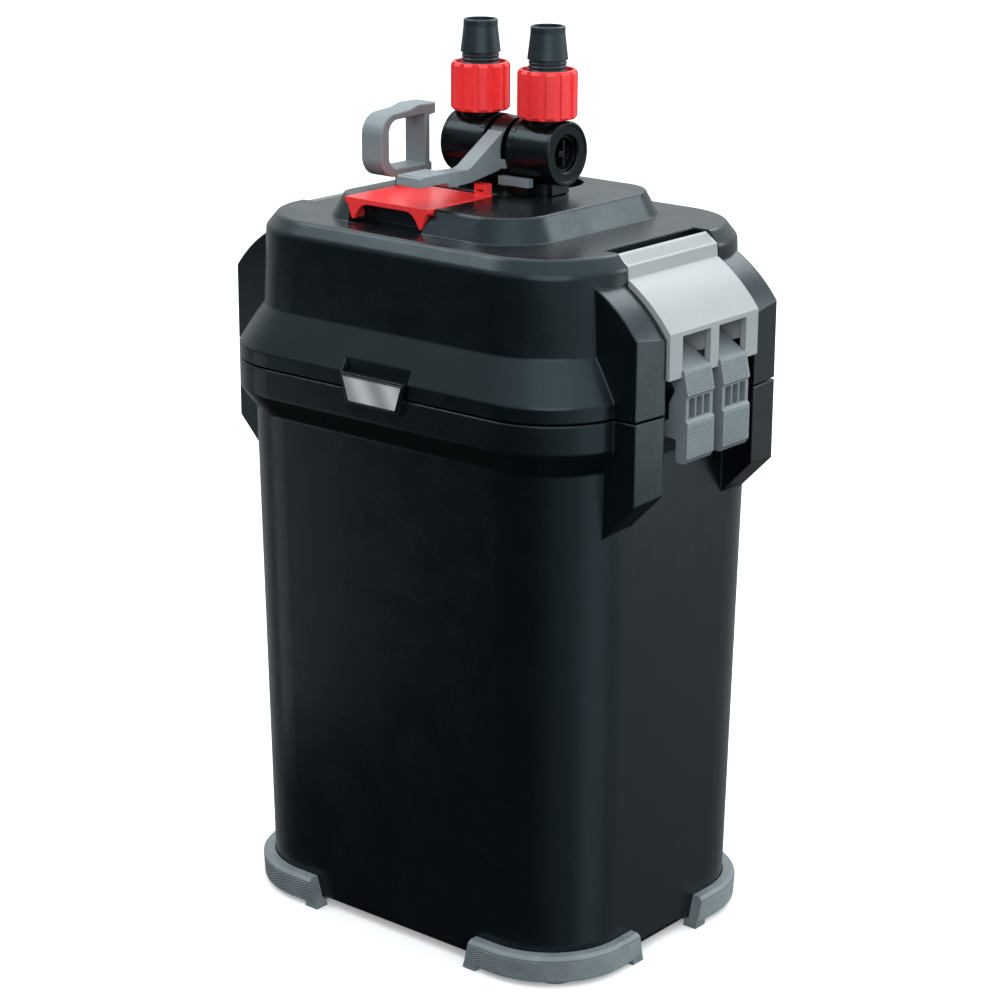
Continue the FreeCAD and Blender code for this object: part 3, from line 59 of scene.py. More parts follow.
class Shader:
    """One material and short ways to add nodes to it."""

    def __init__(self, name):
        self.material = bpy.data.materials.new(name)
        self.material.use_nodes = True
        self.tree = self.material.node_tree
        self.surface = self.tree.nodes["Principled BSDF"]
        self.place = self.add("TexCoord").outputs["Object"]

    def add(self, kind, inputs=None, **settings):
        """A node with its inputs set to values or linked to sockets."""
        node = self.tree.nodes.new(f"ShaderNode{kind}")
        for key, value in settings.items():
            setattr(node, key, value)
        for key, value in (inputs or {}).items():
            self.set(node.inputs[key], value)
        return node

    def set(self, socket, value):
        if isinstance(value, bpy.types.NodeSocket):
            self.tree.links.new(value, socket)
        else:
            socket.default_value = value

    def noise(self, size, detail=2.0, roughness=0.5, place=None):
        """Noise whose features are about size metres across."""
        node = self.add("TexNoise", {
            "Vector": place or self.place, "Scale": 1.0 / size, "Detail": detail, "Roughness": roughness,
        })
        return node.outputs["Fac"]

    def stretched(self, x, y, z):
        """The place with each axis multiplied, for streaks and brushing."""
        return self.add("Mapping", {"Vector": self.place, "Scale": (x, y, z)}).outputs["Vector"]

    def span(self, value, low, high, new_low=0.0, new_high=1.0, smooth=False):
        """The value's span from low to high, carried to a new span."""
        node = self.add("MapRange", {
            "Value": value, "From Min": low, "From Max": high, "To Min": new_low, "To Max": new_high,
        })
        if smooth:
            node.interpolation_type = "SMOOTHSTEP"
        return node.outputs["Result"]

    def math(self, operation, first, second=0.0):
        node = self.add("Math", operation=operation)
        self.set(node.inputs[0], first)
        self.set(node.inputs[1], second)
        return node.outputs["Value"]

    def mix(self, share, first, second):
        """A colour between two, by share."""
        node = self.add("Mix", data_type="RGBA")
        self.set(node.inputs["Factor"], share)
        self.set(node.inputs[6], first)
        self.set(node.inputs[7], second)
        return node.outputs[2]

    def edges(self, radius):
        """The rounded normal, and 0 on flat ground rising to 1 on sharp edges."""
        rounded = self.add("Bevel", {"Radius": radius}, samples=6).outputs["Normal"]
        flat = self.add("NewGeometry").outputs["Normal"]
        dot = self.add("VectorMath", operation="DOT_PRODUCT")
        self.set(dot.inputs[0], rounded)
        self.set(dot.inputs[1], flat)
        return rounded, self.span(dot.outputs["Value"], 0.995, 0.86)

    def bump(self, height, strength, distance, normal=None):
        node = self.add("Bump", {"Height": height, "Strength": strength, "Distance": distance})
        if normal is not None:
            self.set(node.inputs["Normal"], normal)
        return node.outputs["Normal"]

    def finish(self, **sockets):
        names = {
            "colour": "Base Color", "roughness": "Roughness", "metallic": "Metallic", "normal": "Normal",
            "specular": "Specular IOR Level", "specular_tint": "Specular Tint",
            "coat": "Coat Weight", "coat_roughness": "Coat Roughness",
            "sheen": "Sheen Weight", "sheen_roughness": "Sheen Roughness",
        }
        for key, value in sockets.items():
            self.set(self.surface.inputs[names[key]], value)
        return self.material


def rgb(red, green, blue):
    """A linear colour with full alpha."""
    return (red, green, blue, 1.0)


def shade(colour, factor):
    """The colour made lighter or darker."""
    return (*(channel * factor for channel in colour[:3]), 1.0)


def moulded(name, colour, roughness, edge=0.45 * MM, grain=0.35 * MM, depth=0.012 * MM, specular=0.5,
            edge_rubbing_and_highlight=0.25, cloud=0.10, sheen_tint=(1.0, 1.0, 1.0), crisp=None):
    """Moulded plastic: a fine eroded grain, faint clouding, handling smudges, slightly polished edges and sharp
    edges painted lighter, partly rubbed and partly a painted highlight.
    The edges near the height crisp, if it is given, are left sharp."""
    shader = Shader(name)
    if crisp is not None:
        height = shader.add("SeparateXYZ", {"Vector": shader.place}).outputs["Z"]
        away = shader.math("ABSOLUTE", shader.math("SUBTRACT", height, crisp))
        edge = shader.span(away, 1.0 * MM, 4.5 * MM, 0.15 * MM, edge)
    rounded, sharp = shader.edges(edge)
    clouds = shader.noise(26 * MM, 3.0)
    specks = shader.noise(0.9 * MM, 2.0)
    tint = shader.mix(shader.span(clouds, 0.3, 0.7), shade(colour, 1 - cloud), shade(colour, 1 + cloud))
    tint = shader.mix(shader.span(specks, 0.35, 0.75, 0.0, 0.10), tint, shade(colour, 1.8))
    # sharp edges are painted lighter: partly rubbed, partly a painted highlight along them
    rubbed_and_highlit = shader.math("MULTIPLY", sharp, shader.span(shader.noise(5 * MM, 3.0), 0.3, 0.7, edge_rubbing_and_highlight * 0.4, edge_rubbing_and_highlight))
    tint = shader.mix(rubbed_and_highlit, tint, shade([channel + 0.02 for channel in colour[:3]], 1.6))
    smudges = shader.noise(16 * MM, 4.0, 0.6)
    gloss = shader.span(smudges, 0.3, 0.7, roughness - 0.04, roughness + 0.05)
    gloss = shader.math("ADD", gloss, shader.span(specks, 0.3, 0.7, -0.02, 0.02))
    gloss = shader.math("SUBTRACT", gloss, shader.math("MULTIPLY", sharp, 0.06))
    normal = shader.bump(shader.noise(grain, 1.0), 0.2, depth * 3, rounded)
    return shader.finish(colour=tint, roughness=gloss, normal=normal, specular=specular,
                         specular_tint=rgb(*sheen_tint))


def rubber(name, colour, roughness):
    """Dull rubber with a faint bloom, a little dust, crisp edges and a painted highlight along them."""
    shader = Shader(name)
    rounded, sharp = shader.edges(0.12 * MM)
    bloom = shader.noise(9 * MM, 4.0, 0.6)
    dust = shader.noise(0.5 * MM, 2.0)
    tint = shader.mix(shader.span(bloom, 0.35, 0.7), shade(colour, 0.86), shade(colour, 1.14))
    tint = shader.mix(shader.span(dust, 0.55, 0.8, 0.0, 0.12), tint, shade(colour, 1.9))
    # sharp edges painted lighter: a painted highlight
    tint = shader.mix(shader.math("MULTIPLY", sharp, 0.25), tint, shade(colour, 1.5))
    gloss = shader.span(bloom, 0.3, 0.7, roughness - 0.06, roughness + 0.06)
    return shader.finish(colour=tint, roughness=gloss, specular=0.4,
                         normal=shader.bump(dust, 0.3, 0.03 * MM, rounded))


def badge_material(name):
    """Satin aluminium sheet: fine level brushing under broad, slanting bands of painted sheen, and a painted
    highlight along its edges.
    """
    shader = Shader(name)
    rounded, sharp = shader.edges(0.25 * MM)
    streaks = shader.noise(0.5 * MM, 3.0, 0.7, shader.stretched(0.03, 1.0, 1.0))
    # broad slanting bands of lighter and darker colour: painted sheen standing in for the brushed metal's highlights
    slanted = shader.add("Mapping", {"Vector": shader.place, "Rotation": (0.0, math.radians(28), 0.0)})
    bands = shader.add("TexWave", {"Vector": slanted.outputs["Vector"], "Scale": 1 / (52 * MM), "Phase Offset": 1.4})
    sheen = shader.mix(bands.outputs["Fac"], rgb(0.40, 0.405, 0.41), rgb(0.86, 0.87, 0.88))
    tint = shader.mix(shader.span(streaks, 0.35, 0.7, 0.0, 0.25), sheen, rgb(0.60, 0.61, 0.62))
    # sharp edges painted lighter: a painted highlight
    tint = shader.mix(shader.math("MULTIPLY", sharp, 0.4), tint, rgb(0.9, 0.9, 0.9))
    gloss = shader.span(streaks, 0.3, 0.7, 0.34, 0.46)
    return shader.finish(colour=tint, roughness=gloss, metallic=0.3,
                         normal=shader.bump(streaks, 0.3, 0.01 * MM, rounded))


def metal(name, colour, roughness, along=(1, 1, 40), brushing=0.35):
    """Drawn or brushed metal, streaked along one axis, with a painted highlight along its edges."""
    shader = Shader(name)
    rounded, sharp = shader.edges(0.25 * MM)
    streaks = shader.noise(0.6 * MM, 3.0, 0.7, shader.stretched(*[1.0 / factor for factor in along]))
    blotches = shader.noise(7 * MM, 3.0)
    tint = shader.mix(shader.span(streaks, 0.3, 0.7), shade(colour, 0.82), shade(colour, 1.1))
    tint = shader.mix(shader.span(blotches, 0.4, 0.8, 0.0, 0.3), tint, shade(colour, 0.75))
    # sharp edges painted lighter: a painted highlight
    tint = shader.mix(shader.math("MULTIPLY", sharp, 0.4), tint, shade(colour, 1.25))
    gloss = shader.span(streaks, 0.25, 0.75, roughness - 0.08, roughness + 0.12)
    return shader.finish(colour=tint, roughness=gloss, metallic=1.0,
                         normal=shader.bump(streaks, brushing, 0.02 * MM, rounded))


def ceramic_material(name):
    """Porous pale ceramic with brown stains, painted shade in its pores and a painted highlight along its edges."""
    shader = Shader(name)
    rounded, sharp = shader.edges(0.4 * MM)
    pores = shader.add("TexVoronoi", {"Vector": shader.place, "Scale": 1 / (0.8 * MM)}).outputs["Distance"]
    stain = shader.noise(8 * MM, 4.0)
    pale = shader.mix(shader.span(stain, 0.35, 0.7), rgb(0.80, 0.76, 0.68), rgb(0.70, 0.62, 0.50))
    # the pores are painted darker: painted shade in them
    tint = shader.mix(shader.span(pores, 0.0, 0.35, 0.5, 0.0), pale, rgb(0.40, 0.34, 0.27))
    # sharp edges painted lighter: a painted highlight
    tint = shader.mix(shader.math("MULTIPLY", sharp, 0.3), tint, rgb(0.9, 0.88, 0.82))
    return shader.finish(colour=tint, roughness=0.88, normal=shader.bump(pores, 0.6, 0.15 * MM, rounded))


def winding_material(name):
    """Varnished copper wire on a bobbin: fine turns round the core's legs, with painted shade in the grooves between
    the turns.
    """
    shader = Shader(name)
    wave = shader.add("TexWave", {"Vector": shader.place, "Scale": 1 / (2.2 * MM), "Distortion": 0.4})
    turns = wave.outputs["Fac"]
    # the turns alternate bright and dark copper: painted highlight on each turn and painted shade between them
    tint = shader.mix(turns, rgb(0.20, 0.06, 0.02), rgb(0.62, 0.26, 0.10))
    tint = shader.mix(shader.span(shader.noise(6 * MM, 3.0), 0.4, 0.8, 0, 0.5), tint, rgb(0.32, 0.12, 0.04))
    return shader.finish(colour=tint, roughness=0.32, coat=0.6, coat_roughness=0.15,
                         normal=shader.bump(turns, 0.8, 0.15 * MM))


def laminated_material(name):
    """A stack of stamped steel sheets with a little rust."""
    shader = Shader(name)
    rounded, sharp = shader.edges(0.2 * MM)
    sheets = shader.add("TexWave", {"Vector": shader.place, "Scale": 1 / (3.2 * MM)}, bands_direction="Z")
    layers = sheets.outputs["Fac"]
    rust = shader.noise(5 * MM, 5.0, 0.65)
    tint = shader.mix(layers, rgb(0.16, 0.16, 0.17), rgb(0.42, 0.42, 0.43))
    tint = shader.mix(shader.span(rust, 0.55, 0.75, 0, 0.5), tint, rgb(0.26, 0.15, 0.09))
    return shader.finish(colour=tint, metallic=0.9, roughness=shader.span(rust, 0.4, 0.7, 0.38, 0.6),
                         normal=shader.bump(layers, 0.7, 0.1 * MM, rounded))


def foam_material(name, colour, cell=1.6 * MM, dark=0.25):
    """Open-cell foam: round pores of several sizes, with painted shade in them."""
    shader = Shader(name)
    cells = shader.add("TexVoronoi", {"Vector": shader.place, "Scale": 1 / cell}).outputs["Distance"]
    fine = shader.add("TexVoronoi", {"Vector": shader.place, "Scale": 2.4 / cell}).outputs["Distance"]
    depth = shader.math("MULTIPLY", shader.span(cells, 0.05, 0.5), shader.span(fine, 0.0, 0.5, 0.5, 1.0))
    soil = shader.noise(24 * MM, 4.0)
    # the pores are painted as a darker copy of the foam's colour: painted shade in them
    tint = shader.mix(depth, shade(colour, dark), colour)
    tint = shader.mix(shader.span(soil, 0.45, 0.8, 0, 0.35), tint, shade(colour, 0.6))
    return shader.finish(colour=tint, roughness=0.95, specular=0.2, sheen=0.25, sheen_roughness=0.6,
                         normal=shader.bump(depth, 1.0, 0.6 * MM))


def floss_material(name):
    """Felted filter floss: tangled white fibres."""
    shader = Shader(name)
    long_way = shader.noise(0.7 * MM, 5.0, 0.7, shader.stretched(1.0, 0.25, 1.0))
    other_way = shader.noise(0.7 * MM, 5.0, 0.7, shader.stretched(0.25, 1.0, 1.0))
    fibres = shader.math("MAXIMUM", long_way, other_way)
    soil = shader.noise(30 * MM, 3.0)
    tint = shader.mix(shader.span(fibres, 0.4, 0.7), rgb(0.52, 0.54, 0.54), rgb(0.90, 0.91, 0.90))
    tint = shader.mix(shader.span(soil, 0.45, 0.8, 0, 0.25), tint, rgb(0.72, 0.68, 0.56))
    return shader.finish(colour=tint, roughness=0.95, sheen=0.5, sheen_roughness=0.5,
                         normal=shader.bump(fibres, 1.0, 0.5 * MM))


def net_material(name):
    """A black net bag over carbon pellets, with painted shade in the gaps between the pellets."""
    shader = Shader(name)
    turned = shader.add("Mapping", {"Vector": shader.place, "Rotation": (0.0, 0.0, math.radians(45))})
    net_place = turned.outputs["Vector"]
    strands = []
    for direction in ("X", "Y"):
        wave = shader.add("TexWave", {"Vector": net_place, "Scale": 1 / (5.5 * MM)}, bands_direction=direction)
        strands.append(shader.span(wave.outputs["Fac"], 0.72, 0.9))
    net = shader.math("MAXIMUM", *strands)
    grains = shader.add("TexVoronoi", {"Vector": shader.place, "Scale": 1 / (2.6 * MM)}).outputs["Distance"]
    # the pellets are painted darker in the gaps between them: painted shade
    carbon = shader.mix(shader.span(grains, 0.1, 0.6), rgb(0.05, 0.05, 0.052), rgb(0.008, 0.008, 0.009))
    tint = shader.mix(net, carbon, rgb(0.16, 0.17, 0.18))
    height = shader.math("MAXIMUM", net, shader.span(grains, 0.0, 0.7, 0.7, 0.0))
    return shader.finish(colour=tint, roughness=shader.span(net, 0, 1, 0.5, 0.8),
                         normal=shader.bump(height, 1.0, 0.5 * MM))


CHARCOAL = rgb(0.0028, 0.0044, 0.0056)
GREY = rgb(0.205, 0.245, 0.262)
SILVER = rgb(0.345, 0.365, 0.375)
RED = rgb(0.97, 0.042, 0.046)
COOL = (0.66, 0.90, 1.0)  # the tint of the dark plastics' gloss
SEAM_HEIGHT = (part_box("tank")[1].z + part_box("head_housing")[0].z) / 2  # where the head meets the tank

materials = {
    "shell_plastic": moulded("shell_plastic", CHARCOAL, 0.26, edge=1.4 * MM, edge_rubbing_and_highlight=0.12, sheen_tint=COOL,
                             crisp=SEAM_HEIGHT),
    "head_inner_plastic": moulded("head_inner_plastic", rgb(0.02, 0.022, 0.024), 0.45),
    "valve_plastic": moulded("valve_plastic", rgb(0.003, 0.0036, 0.0042), 0.20, depth=0.003 * MM,
                             specular=0.25, edge_rubbing_and_highlight=0.1, sheen_tint=COOL),
    "nozzle_plastic": moulded("nozzle_plastic", rgb(0.015, 0.022, 0.027), 0.34, sheen_tint=COOL),
    "badge_metal": badge_material("badge_metal"),
    "foot_rubber": rubber("foot_rubber", rgb(0.185, 0.22, 0.235), 0.5),
    "grey_plastic": moulded("grey_plastic", GREY, 0.42, edge=0.5 * MM),
    "silver_plastic": moulded("silver_plastic", SILVER, 0.34, edge=0.5 * MM, cloud=0.04, depth=0.006 * MM),
    "red_plastic": moulded("red_plastic", RED, 0.30, edge=0.5 * MM, depth=0.005 * MM, edge_rubbing_and_highlight=0.12, cloud=0.06),
    "basket_plastic": moulded("basket_plastic", rgb(0.035, 0.036, 0.04), 0.48),
    "ceramic": ceramic_material("ceramic"),
    "foam": foam_material("foam", rgb(0.045, 0.05, 0.055)),
    "filter_floss": floss_material("filter_floss"),
    "bag_mesh": net_material("bag_mesh"),
    "seal_rubber": rubber("seal_rubber", rgb(0.012, 0.012, 0.013), 0.5),
    "steel": metal("steel", rgb(0.60, 0.61, 0.62), 0.26, along=(1, 30, 1)),
    "laminated_steel": laminated_material("laminated_steel"),
    "coil_bobbin": winding_material("coil_bobbin"),
    "magnet": metal("magnet", rgb(0.09, 0.09, 0.10), 0.42, along=(1, 1, 8), brushing=0.2),
    "impeller_plastic": moulded("impeller_plastic", rgb(0.62, 0.64, 0.64), 0.35),
}

for entry in frame["record"]["subparts"]:
    item = frame["nodes"][entry["node"]]
    for material_slot in item.material_slots:
        material_slot.material = materials[entry["material_slot"]]

# ---------------------------------------------------------------- small raised detail


def new_mesh(name, bm):
    mesh = bpy.data.meshes.new(name)
    bm.to_mesh(mesh)
    bm.free()
    item = bpy.data.objects.new(name, mesh)
    scene.collection.objects.link(item)
    return item


def add_piece(name, bm, body, slot_name):
    """A finished piece: its faces turned outward, its material and the body it rides on."""
    bmesh.ops.recalc_face_normals(bm, faces=bm.faces)
    item = new_mesh(name, bm)
    item.data.materials.append(materials[slot_name])
    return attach(item, body)


def join_rings(bm, rings):
    """Faces between closed rings of points, each ring joined to the next and the last to the first."""
    for near, far in zip(rings, rings[1:] + rings[:1]):
        for first in range(len(near)):
            second = (first + 1) % len(near)
            bm.faces.new((near[first], near[second], far[second], far[first]))


def add_relief(name, body, slot_name, counts, place, rise, slant=0, depth=0.4 * MM):
    """A thin solid let into a surface. place(u, v) is a point on the surface and its outward normal,
    and rise(i, j) is how far each grid point stands out. Faces meet in pyramids, or in ridges that climb
    along u if slant is 1 and against u if it is -1."""
    columns, rows = counts
    bm = bmesh.new()
    top, under = {}, {}
    for i in range(columns + 1):
        for j in range(rows + 1):
            point, normal = place(i / columns, j / rows)
            top[i, j] = bm.verts.new(point + normal * rise(i, j))
            under[i, j] = bm.verts.new(point - normal * depth)
    for i in range(columns):
        for j in range(rows):
            corners = [(i, j), (i + 1, j), (i + 1, j + 1), (i, j + 1)]
            if slant < 0 or slant == 0 and (i + j) % 2:
                corners = corners[1:] + corners[:1]
            for layer in (top, under):
                first, second, third, fourth = (layer[corner] for corner in corners)
                bm.faces.new((first, second, third))
                bm.faces.new((first, third, fourth))
    border = [(i, 0) for i in range(columns)] + [(columns, j) for j in range(rows)]
    border += [(i, rows) for i in range(columns, 0, -1)] + [(0, j) for j in range(rows, 0, -1)]
    for first, second in zip(border, border[1:] + border[:1]):
        bm.faces.new((top[first], top[second], under[second], under[first]))
    return add_piece(name, bm, body, slot_name)


def flat_place(corner, across, down):
    """A flat patch from a corner along two sides, facing across x down."""
    normal = across.cross(down).normalized()
    return lambda u, v: (corner + across * u + down * v, normal)


def knurl(height, counts):
    """Pyramids on diamond bases, as two crossing sets of slanting cuts leave them, with a low border."""
    def rise(i, j):
        inside = 0 < i < counts[0] and 0 < j < counts[1]
        return height if inside and (i + j) % 2 else -0.05 * MM

    return rise


def even(number):
    """The nearest even count, and at least two."""
    return 2 * max(1, round(number / 2))


def add_arm_grips():
    """Each arm's two grip faces are cut into small pyramids."""
    pitch = 0.9 * MM
    for side, sign in SIDES:
        for end, _ in ENDS:
            low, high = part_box(f"clamp_arm_{side}_{end}")
            outer = max(abs(low.x), abs(high.x))
            width = high.y - low.y - 1.0 * MM
            # each band's top and bottom edge as (distance from the middle, height)
            bands = (
                ("lower", (outer, low.z + 17.7 * MM), (outer, low.z + 3.0 * MM)),
                ("upper", (outer - 2.31 * MM, low.z + 40.3 * MM), (outer - 0.29 * MM, low.z + 30.6 * MM)),
            )
            for band, start, finish in bands:
                down = Vector((sign * (finish[0] - start[0]), 0, finish[1] - start[1]))
                corner = Vector((sign * start[0], low.y + 0.5 * MM, start[1]))
                across = Vector((0, width, 0))
                if sign > 0:
                    corner, across = corner + across, -across
                counts = (even(width / pitch), even(down.length / pitch))
                add_relief(f"arm_grip_{side}_{end}_{band}", f"arm_{side}_{end}", "grey_plastic", counts,
                           flat_place(corner, across, down), knurl(0.5 * MM, counts))


def add_panel_grips():
    """A finely cut strip along the sloping top edge of each clamp panel."""
    pitch = 0.5 * MM
    for side, sign in SIDES:
        low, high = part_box(f"clamp_panel_{side}")
        outer = max(abs(low.x), abs(high.x))
        # the strip runs down and outward from the panel's top edge
        top = low.z + 50.8 * MM
        start = Vector((sign * (outer - 28.4 * MM), low.y + 1.0 * MM, top - 0.59 * MM))
        finish = Vector((sign * (outer - 23.6 * MM), low.y + 1.0 * MM, top - 4.15 * MM))
        down = finish - start
        across = Vector((0, high.y - low.y - 2.0 * MM, 0))
        if sign > 0:
            start, across = start + across, -across
        counts = (even(across.length / pitch), even(down.length / pitch))
        add_relief(f"panel_grip_{side}", f"clamp_{side}", "silver_plastic", counts,
                   flat_place(start, across, down), knurl(0.24 * MM, counts))


def add_foot_ridges():
    """Fine ridges round the skirt of each corner foot, which climb to the right as seen from outside."""
    low_z, high_z = 3.2 * MM, 12.4 * MM
    edge_z, lean = 13.4 * MM, 0.6 / 10.8  # the skirt leans in by this much a mm below its top edge
    corner_radius = 43.0 * MM
    end_x, end_y = 45.9 * MM, 20.7 * MM  # where the ridges end at the foot's sloping ends, near the floor
    slope_x, slope_y = 4.7 / 17, 4.5 / 17
    for side, sign in SIDES:
        for end, sign_y in ENDS:
            low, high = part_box(f"foot_{end}_{side}")
            reach_x = max(abs(low.x), abs(high.x))
            reach_y = max(abs(low.y), abs(high.y))

            def place(u, v, reach_x=reach_x, reach_y=reach_y, sign=sign, sign_y=sign_y):
                z = low_z + (high_z - low_z) * v
                shrink = (edge_z - z) * lean
                radius = corner_radius - shrink * 0.5 / 0.6
                centre = Vector((reach_x - shrink - radius, reach_y - shrink - radius, z))
                start_x = end_x + (z + 1 * MM) * slope_x
                start_y = end_y + (z + 1 * MM) * slope_y
                first = centre.x - start_x
                bend = radius * math.pi / 2
                last = centre.y - start_y
                along = u * (first + bend + last)
                if along < first:
                    point = Vector((start_x + along, centre.y + radius, z))
                    normal = Vector((0, 1, 0))
                elif along < first + bend:
                    angle = (along - first) / radius
                    normal = Vector((math.sin(angle), math.cos(angle), 0))
                    point = centre + normal * radius
                else:
                    point = Vector((centre.x + radius, centre.y - (along - first - bend), z))
                    normal = Vector((1, 0, 0))
                return (Vector((point.x * sign, point.y * sign_y, z)),
                        Vector((normal.x * sign, normal.y * sign_y, 0)))

            add_relief(f"foot_ridges_{end}_{side}", "tank", "foot_rubber", (70, 16), place,
                       lambda i, j: 0.42 * MM if (i + j) % 2 else -0.05 * MM,
                       slant=-sign * sign_y, depth=0.5 * MM)


def add_lever_ribs():
    """Ribs along the front of the lever's thumb pad."""
    low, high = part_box("valve_lever")
    corner = Vector((low.x + 0.9 * MM, low.y + 2.1 * MM, low.z + 7.5 * MM))
    across = Vector((high.x - low.x - 1.8 * MM, 0, 0))
    add_relief("lever_ribs", "lever", "grey_plastic", (14, 2), flat_place(corner, across, Vector((0, 11 * MM, 0))),
               lambda i, j: 0.35 * MM if i % 2 else -0.05 * MM)


def add_valve_ticks():
    """Short raised position marks round each valve barrel."""
    low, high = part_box("valve_end_cap_right")
    axis_y, axis_z = (low.y + high.y) / 2, (low.z + high.z) / 2
    radius = 14.4 * MM
    tick_angle = 0.16
    for side, sign in SIDES:
        for number in range(4):
            middle = math.radians(120 + number * 17)

            def place(u, v, sign=sign, middle=middle):
                angle = middle + (v - 0.5) * tick_angle * sign
                normal = Vector((0, math.cos(angle), math.sin(angle)))
                x = sign * (8.0 + 2.2 * u) * MM
                return Vector((x, axis_y, axis_z)) + normal * radius, normal

            add_relief(f"valve_tick_{side}_{number}", "valve", "valve_plastic", (2, 2), place,
                       lambda i, j: 0.3 * MM)


def add_badge_rim():
    """A bevelled rim round the blank badge plate."""
    low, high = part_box("badge_plate")
    face = low.y
    taper = 3.8 * MM
    corners = [
        Vector((low.x + taper, 0, low.z)), Vector((high.x - taper, 0, low.z)),
        Vector((high.x, 0, high.z)), Vector((low.x, 0, high.z)),
    ]
    # how far each point of the rim's section lies inside the plate's edge and proud of its face, in mm
    section = [(-0.25, -0.9), (-0.25, 0.0), (0.0, 0.25), (0.3, 0.25), (0.5, 0.06), (0.5, -0.3), (0.1, -0.3),
               (0.1, -0.9)]
    bm = bmesh.new()
    rings = []
    for number, corner in enumerate(corners):
        before = (corner - corners[number - 1]).normalized()
        after = (corners[(number + 1) % 4] - corner).normalized()
        inward = (after - before).normalized()
        reach = inward.dot(Vector((-before.z, 0, before.x)))
        rings.append([
            bm.verts.new(corner + inward * (inset * MM / reach) + Vector((0, face - height * MM, 0)))
            for inset, height in section
        ])
    join_rings(bm, rings)
    add_piece("badge_rim", bm, "tank", "shell_plastic")


add_arm_grips()
add_panel_grips()
add_foot_ridges()
add_lever_ribs()
add_valve_ticks()
add_badge_rim()

# ---------------------------------------------------------------- soft media

VOXEL = 5 * MM
CLOTH_FRAMES = 20
BOX_MARGIN = 0.05 * MM  # how far a soft piece stays inside its solid's box
HEM_STEPS = 144


def applied(name, item):
    """A new object with the item's modifiers applied, in place of the item."""
    graph = bpy.context.evaluated_depsgraph_get()
    mesh = bpy.data.meshes.new_from_object(item.evaluated_get(graph))
    piece = bpy.data.objects.new(name, mesh)
    scene.collection.objects.link(piece)
    bpy.data.objects.remove(item)
    return piece


def soft_start(name, node, inset, plump):
    """A closed even-quad copy of a node, inset (x, y, z), with its middle drawn out by plump."""
    low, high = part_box(node)
    middle, half = (low + high) / 2, (high - low) / 2
    bm = bmesh.new()
    bm.from_mesh(frame["nodes"][node].data)
    for vert in bm.verts:
        offset = vert.co - middle
        vert.co = middle + Vector([offset[k] * (1 - inset[k] / half[k]) for k in range(3)])
    rough = new_mesh(f"{name}_rough", bm)
    remesh = rough.modifiers.new("remesh", "REMESH")
    remesh.mode = "VOXEL"
    remesh.voxel_size = VOXEL
    piece = applied(name, rough)
    for vert in piece.data.vertices:
        offset = vert.co - middle
        share = [abs(offset[k]) / half[k] for k in range(3)]
        vert.co = middle + Vector([
            offset[k] * (1 - plump[k] * sum(share[m] ** 2 for m in range(3) if m != k)) for k in range(3)
        ])
    return piece


def swell(pieces, cap):
    """Every piece is blown up by a cloth simulation, and no point moves more than cap."""
    starts = {}
    for piece in pieces:
        starts[piece.name] = [vert.co.copy() for vert in piece.data.vertices]
        cloth = piece.modifiers.new("cloth", "CLOTH")
        cloth.settings.use_pressure = True
        cloth.settings.uniform_pressure_force = 4
        cloth.settings.effector_weights.gravity = 0
        cloth.point_cache.frame_start = 1
        cloth.point_cache.frame_end = CLOTH_FRAMES
    for number in range(1, CLOTH_FRAMES + 1):
        scene.frame_set(number)
    done = []
    for piece in pieces:
        name = piece.name
        piece.name = f"{name}_before"
        swollen = applied(name, piece)
        for vert, start in zip(swollen.data.vertices, starts[name]):
            move = vert.co - start
            if move.length > cap:
                vert.co = start + move * (cap / move.length)
        done.append(swollen)
    scene.frame_set(1)
    return done


def ruffle(piece, size, height):
    """Low lumps over a soft surface, which come from smooth noise at each point."""
    normals = [vert.normal.copy() for vert in piece.data.vertices]
    for vert, normal in zip(piece.data.vertices, normals):
        vert.co += normal * (noise.noise(vert.co / size) * height)


def pinch(piece, node, levels, width, depth):
    """Seams round the sides at some heights, where the side is drawn in."""
    low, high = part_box(node)
    middle, half = (low + high) / 2, (high - low) / 2
    for vert in piece.data.vertices:
        height = (vert.co.z - low.z) / (high.z - low.z)
        pull = sum(math.exp(-((height - level) * (high.z - low.z) / width) ** 2) for level in levels)
        outward = Vector((vert.co.x - middle.x, vert.co.y - middle.y, 0))
        edge = max(abs(outward.x) / half.x, abs(outward.y) / half.y)
        if edge > 0.85:
            vert.co -= outward.normalized() * (pull * depth)


def finish_soft(piece, node):
    low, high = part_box(node)
    for vert in piece.data.vertices:
        vert.co = Vector([
            min(max(vert.co[k], low[k] + BOX_MARGIN), high[k] - BOX_MARGIN) for k in range(3)
        ])
    for polygon in piece.data.polygons:
        polygon.use_smooth = True
    smooth = piece.modifiers.new("smooth", "SUBSURF")
    smooth.levels = 1
    smooth.render_levels = 1
    slot_name = next(e["material_slot"] for e in frame["record"]["subparts"] if e["node"] == node)
    piece.data.materials.clear()
    piece.data.materials.append(materials[slot_name])
    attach(piece, "tank")
    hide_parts(node)


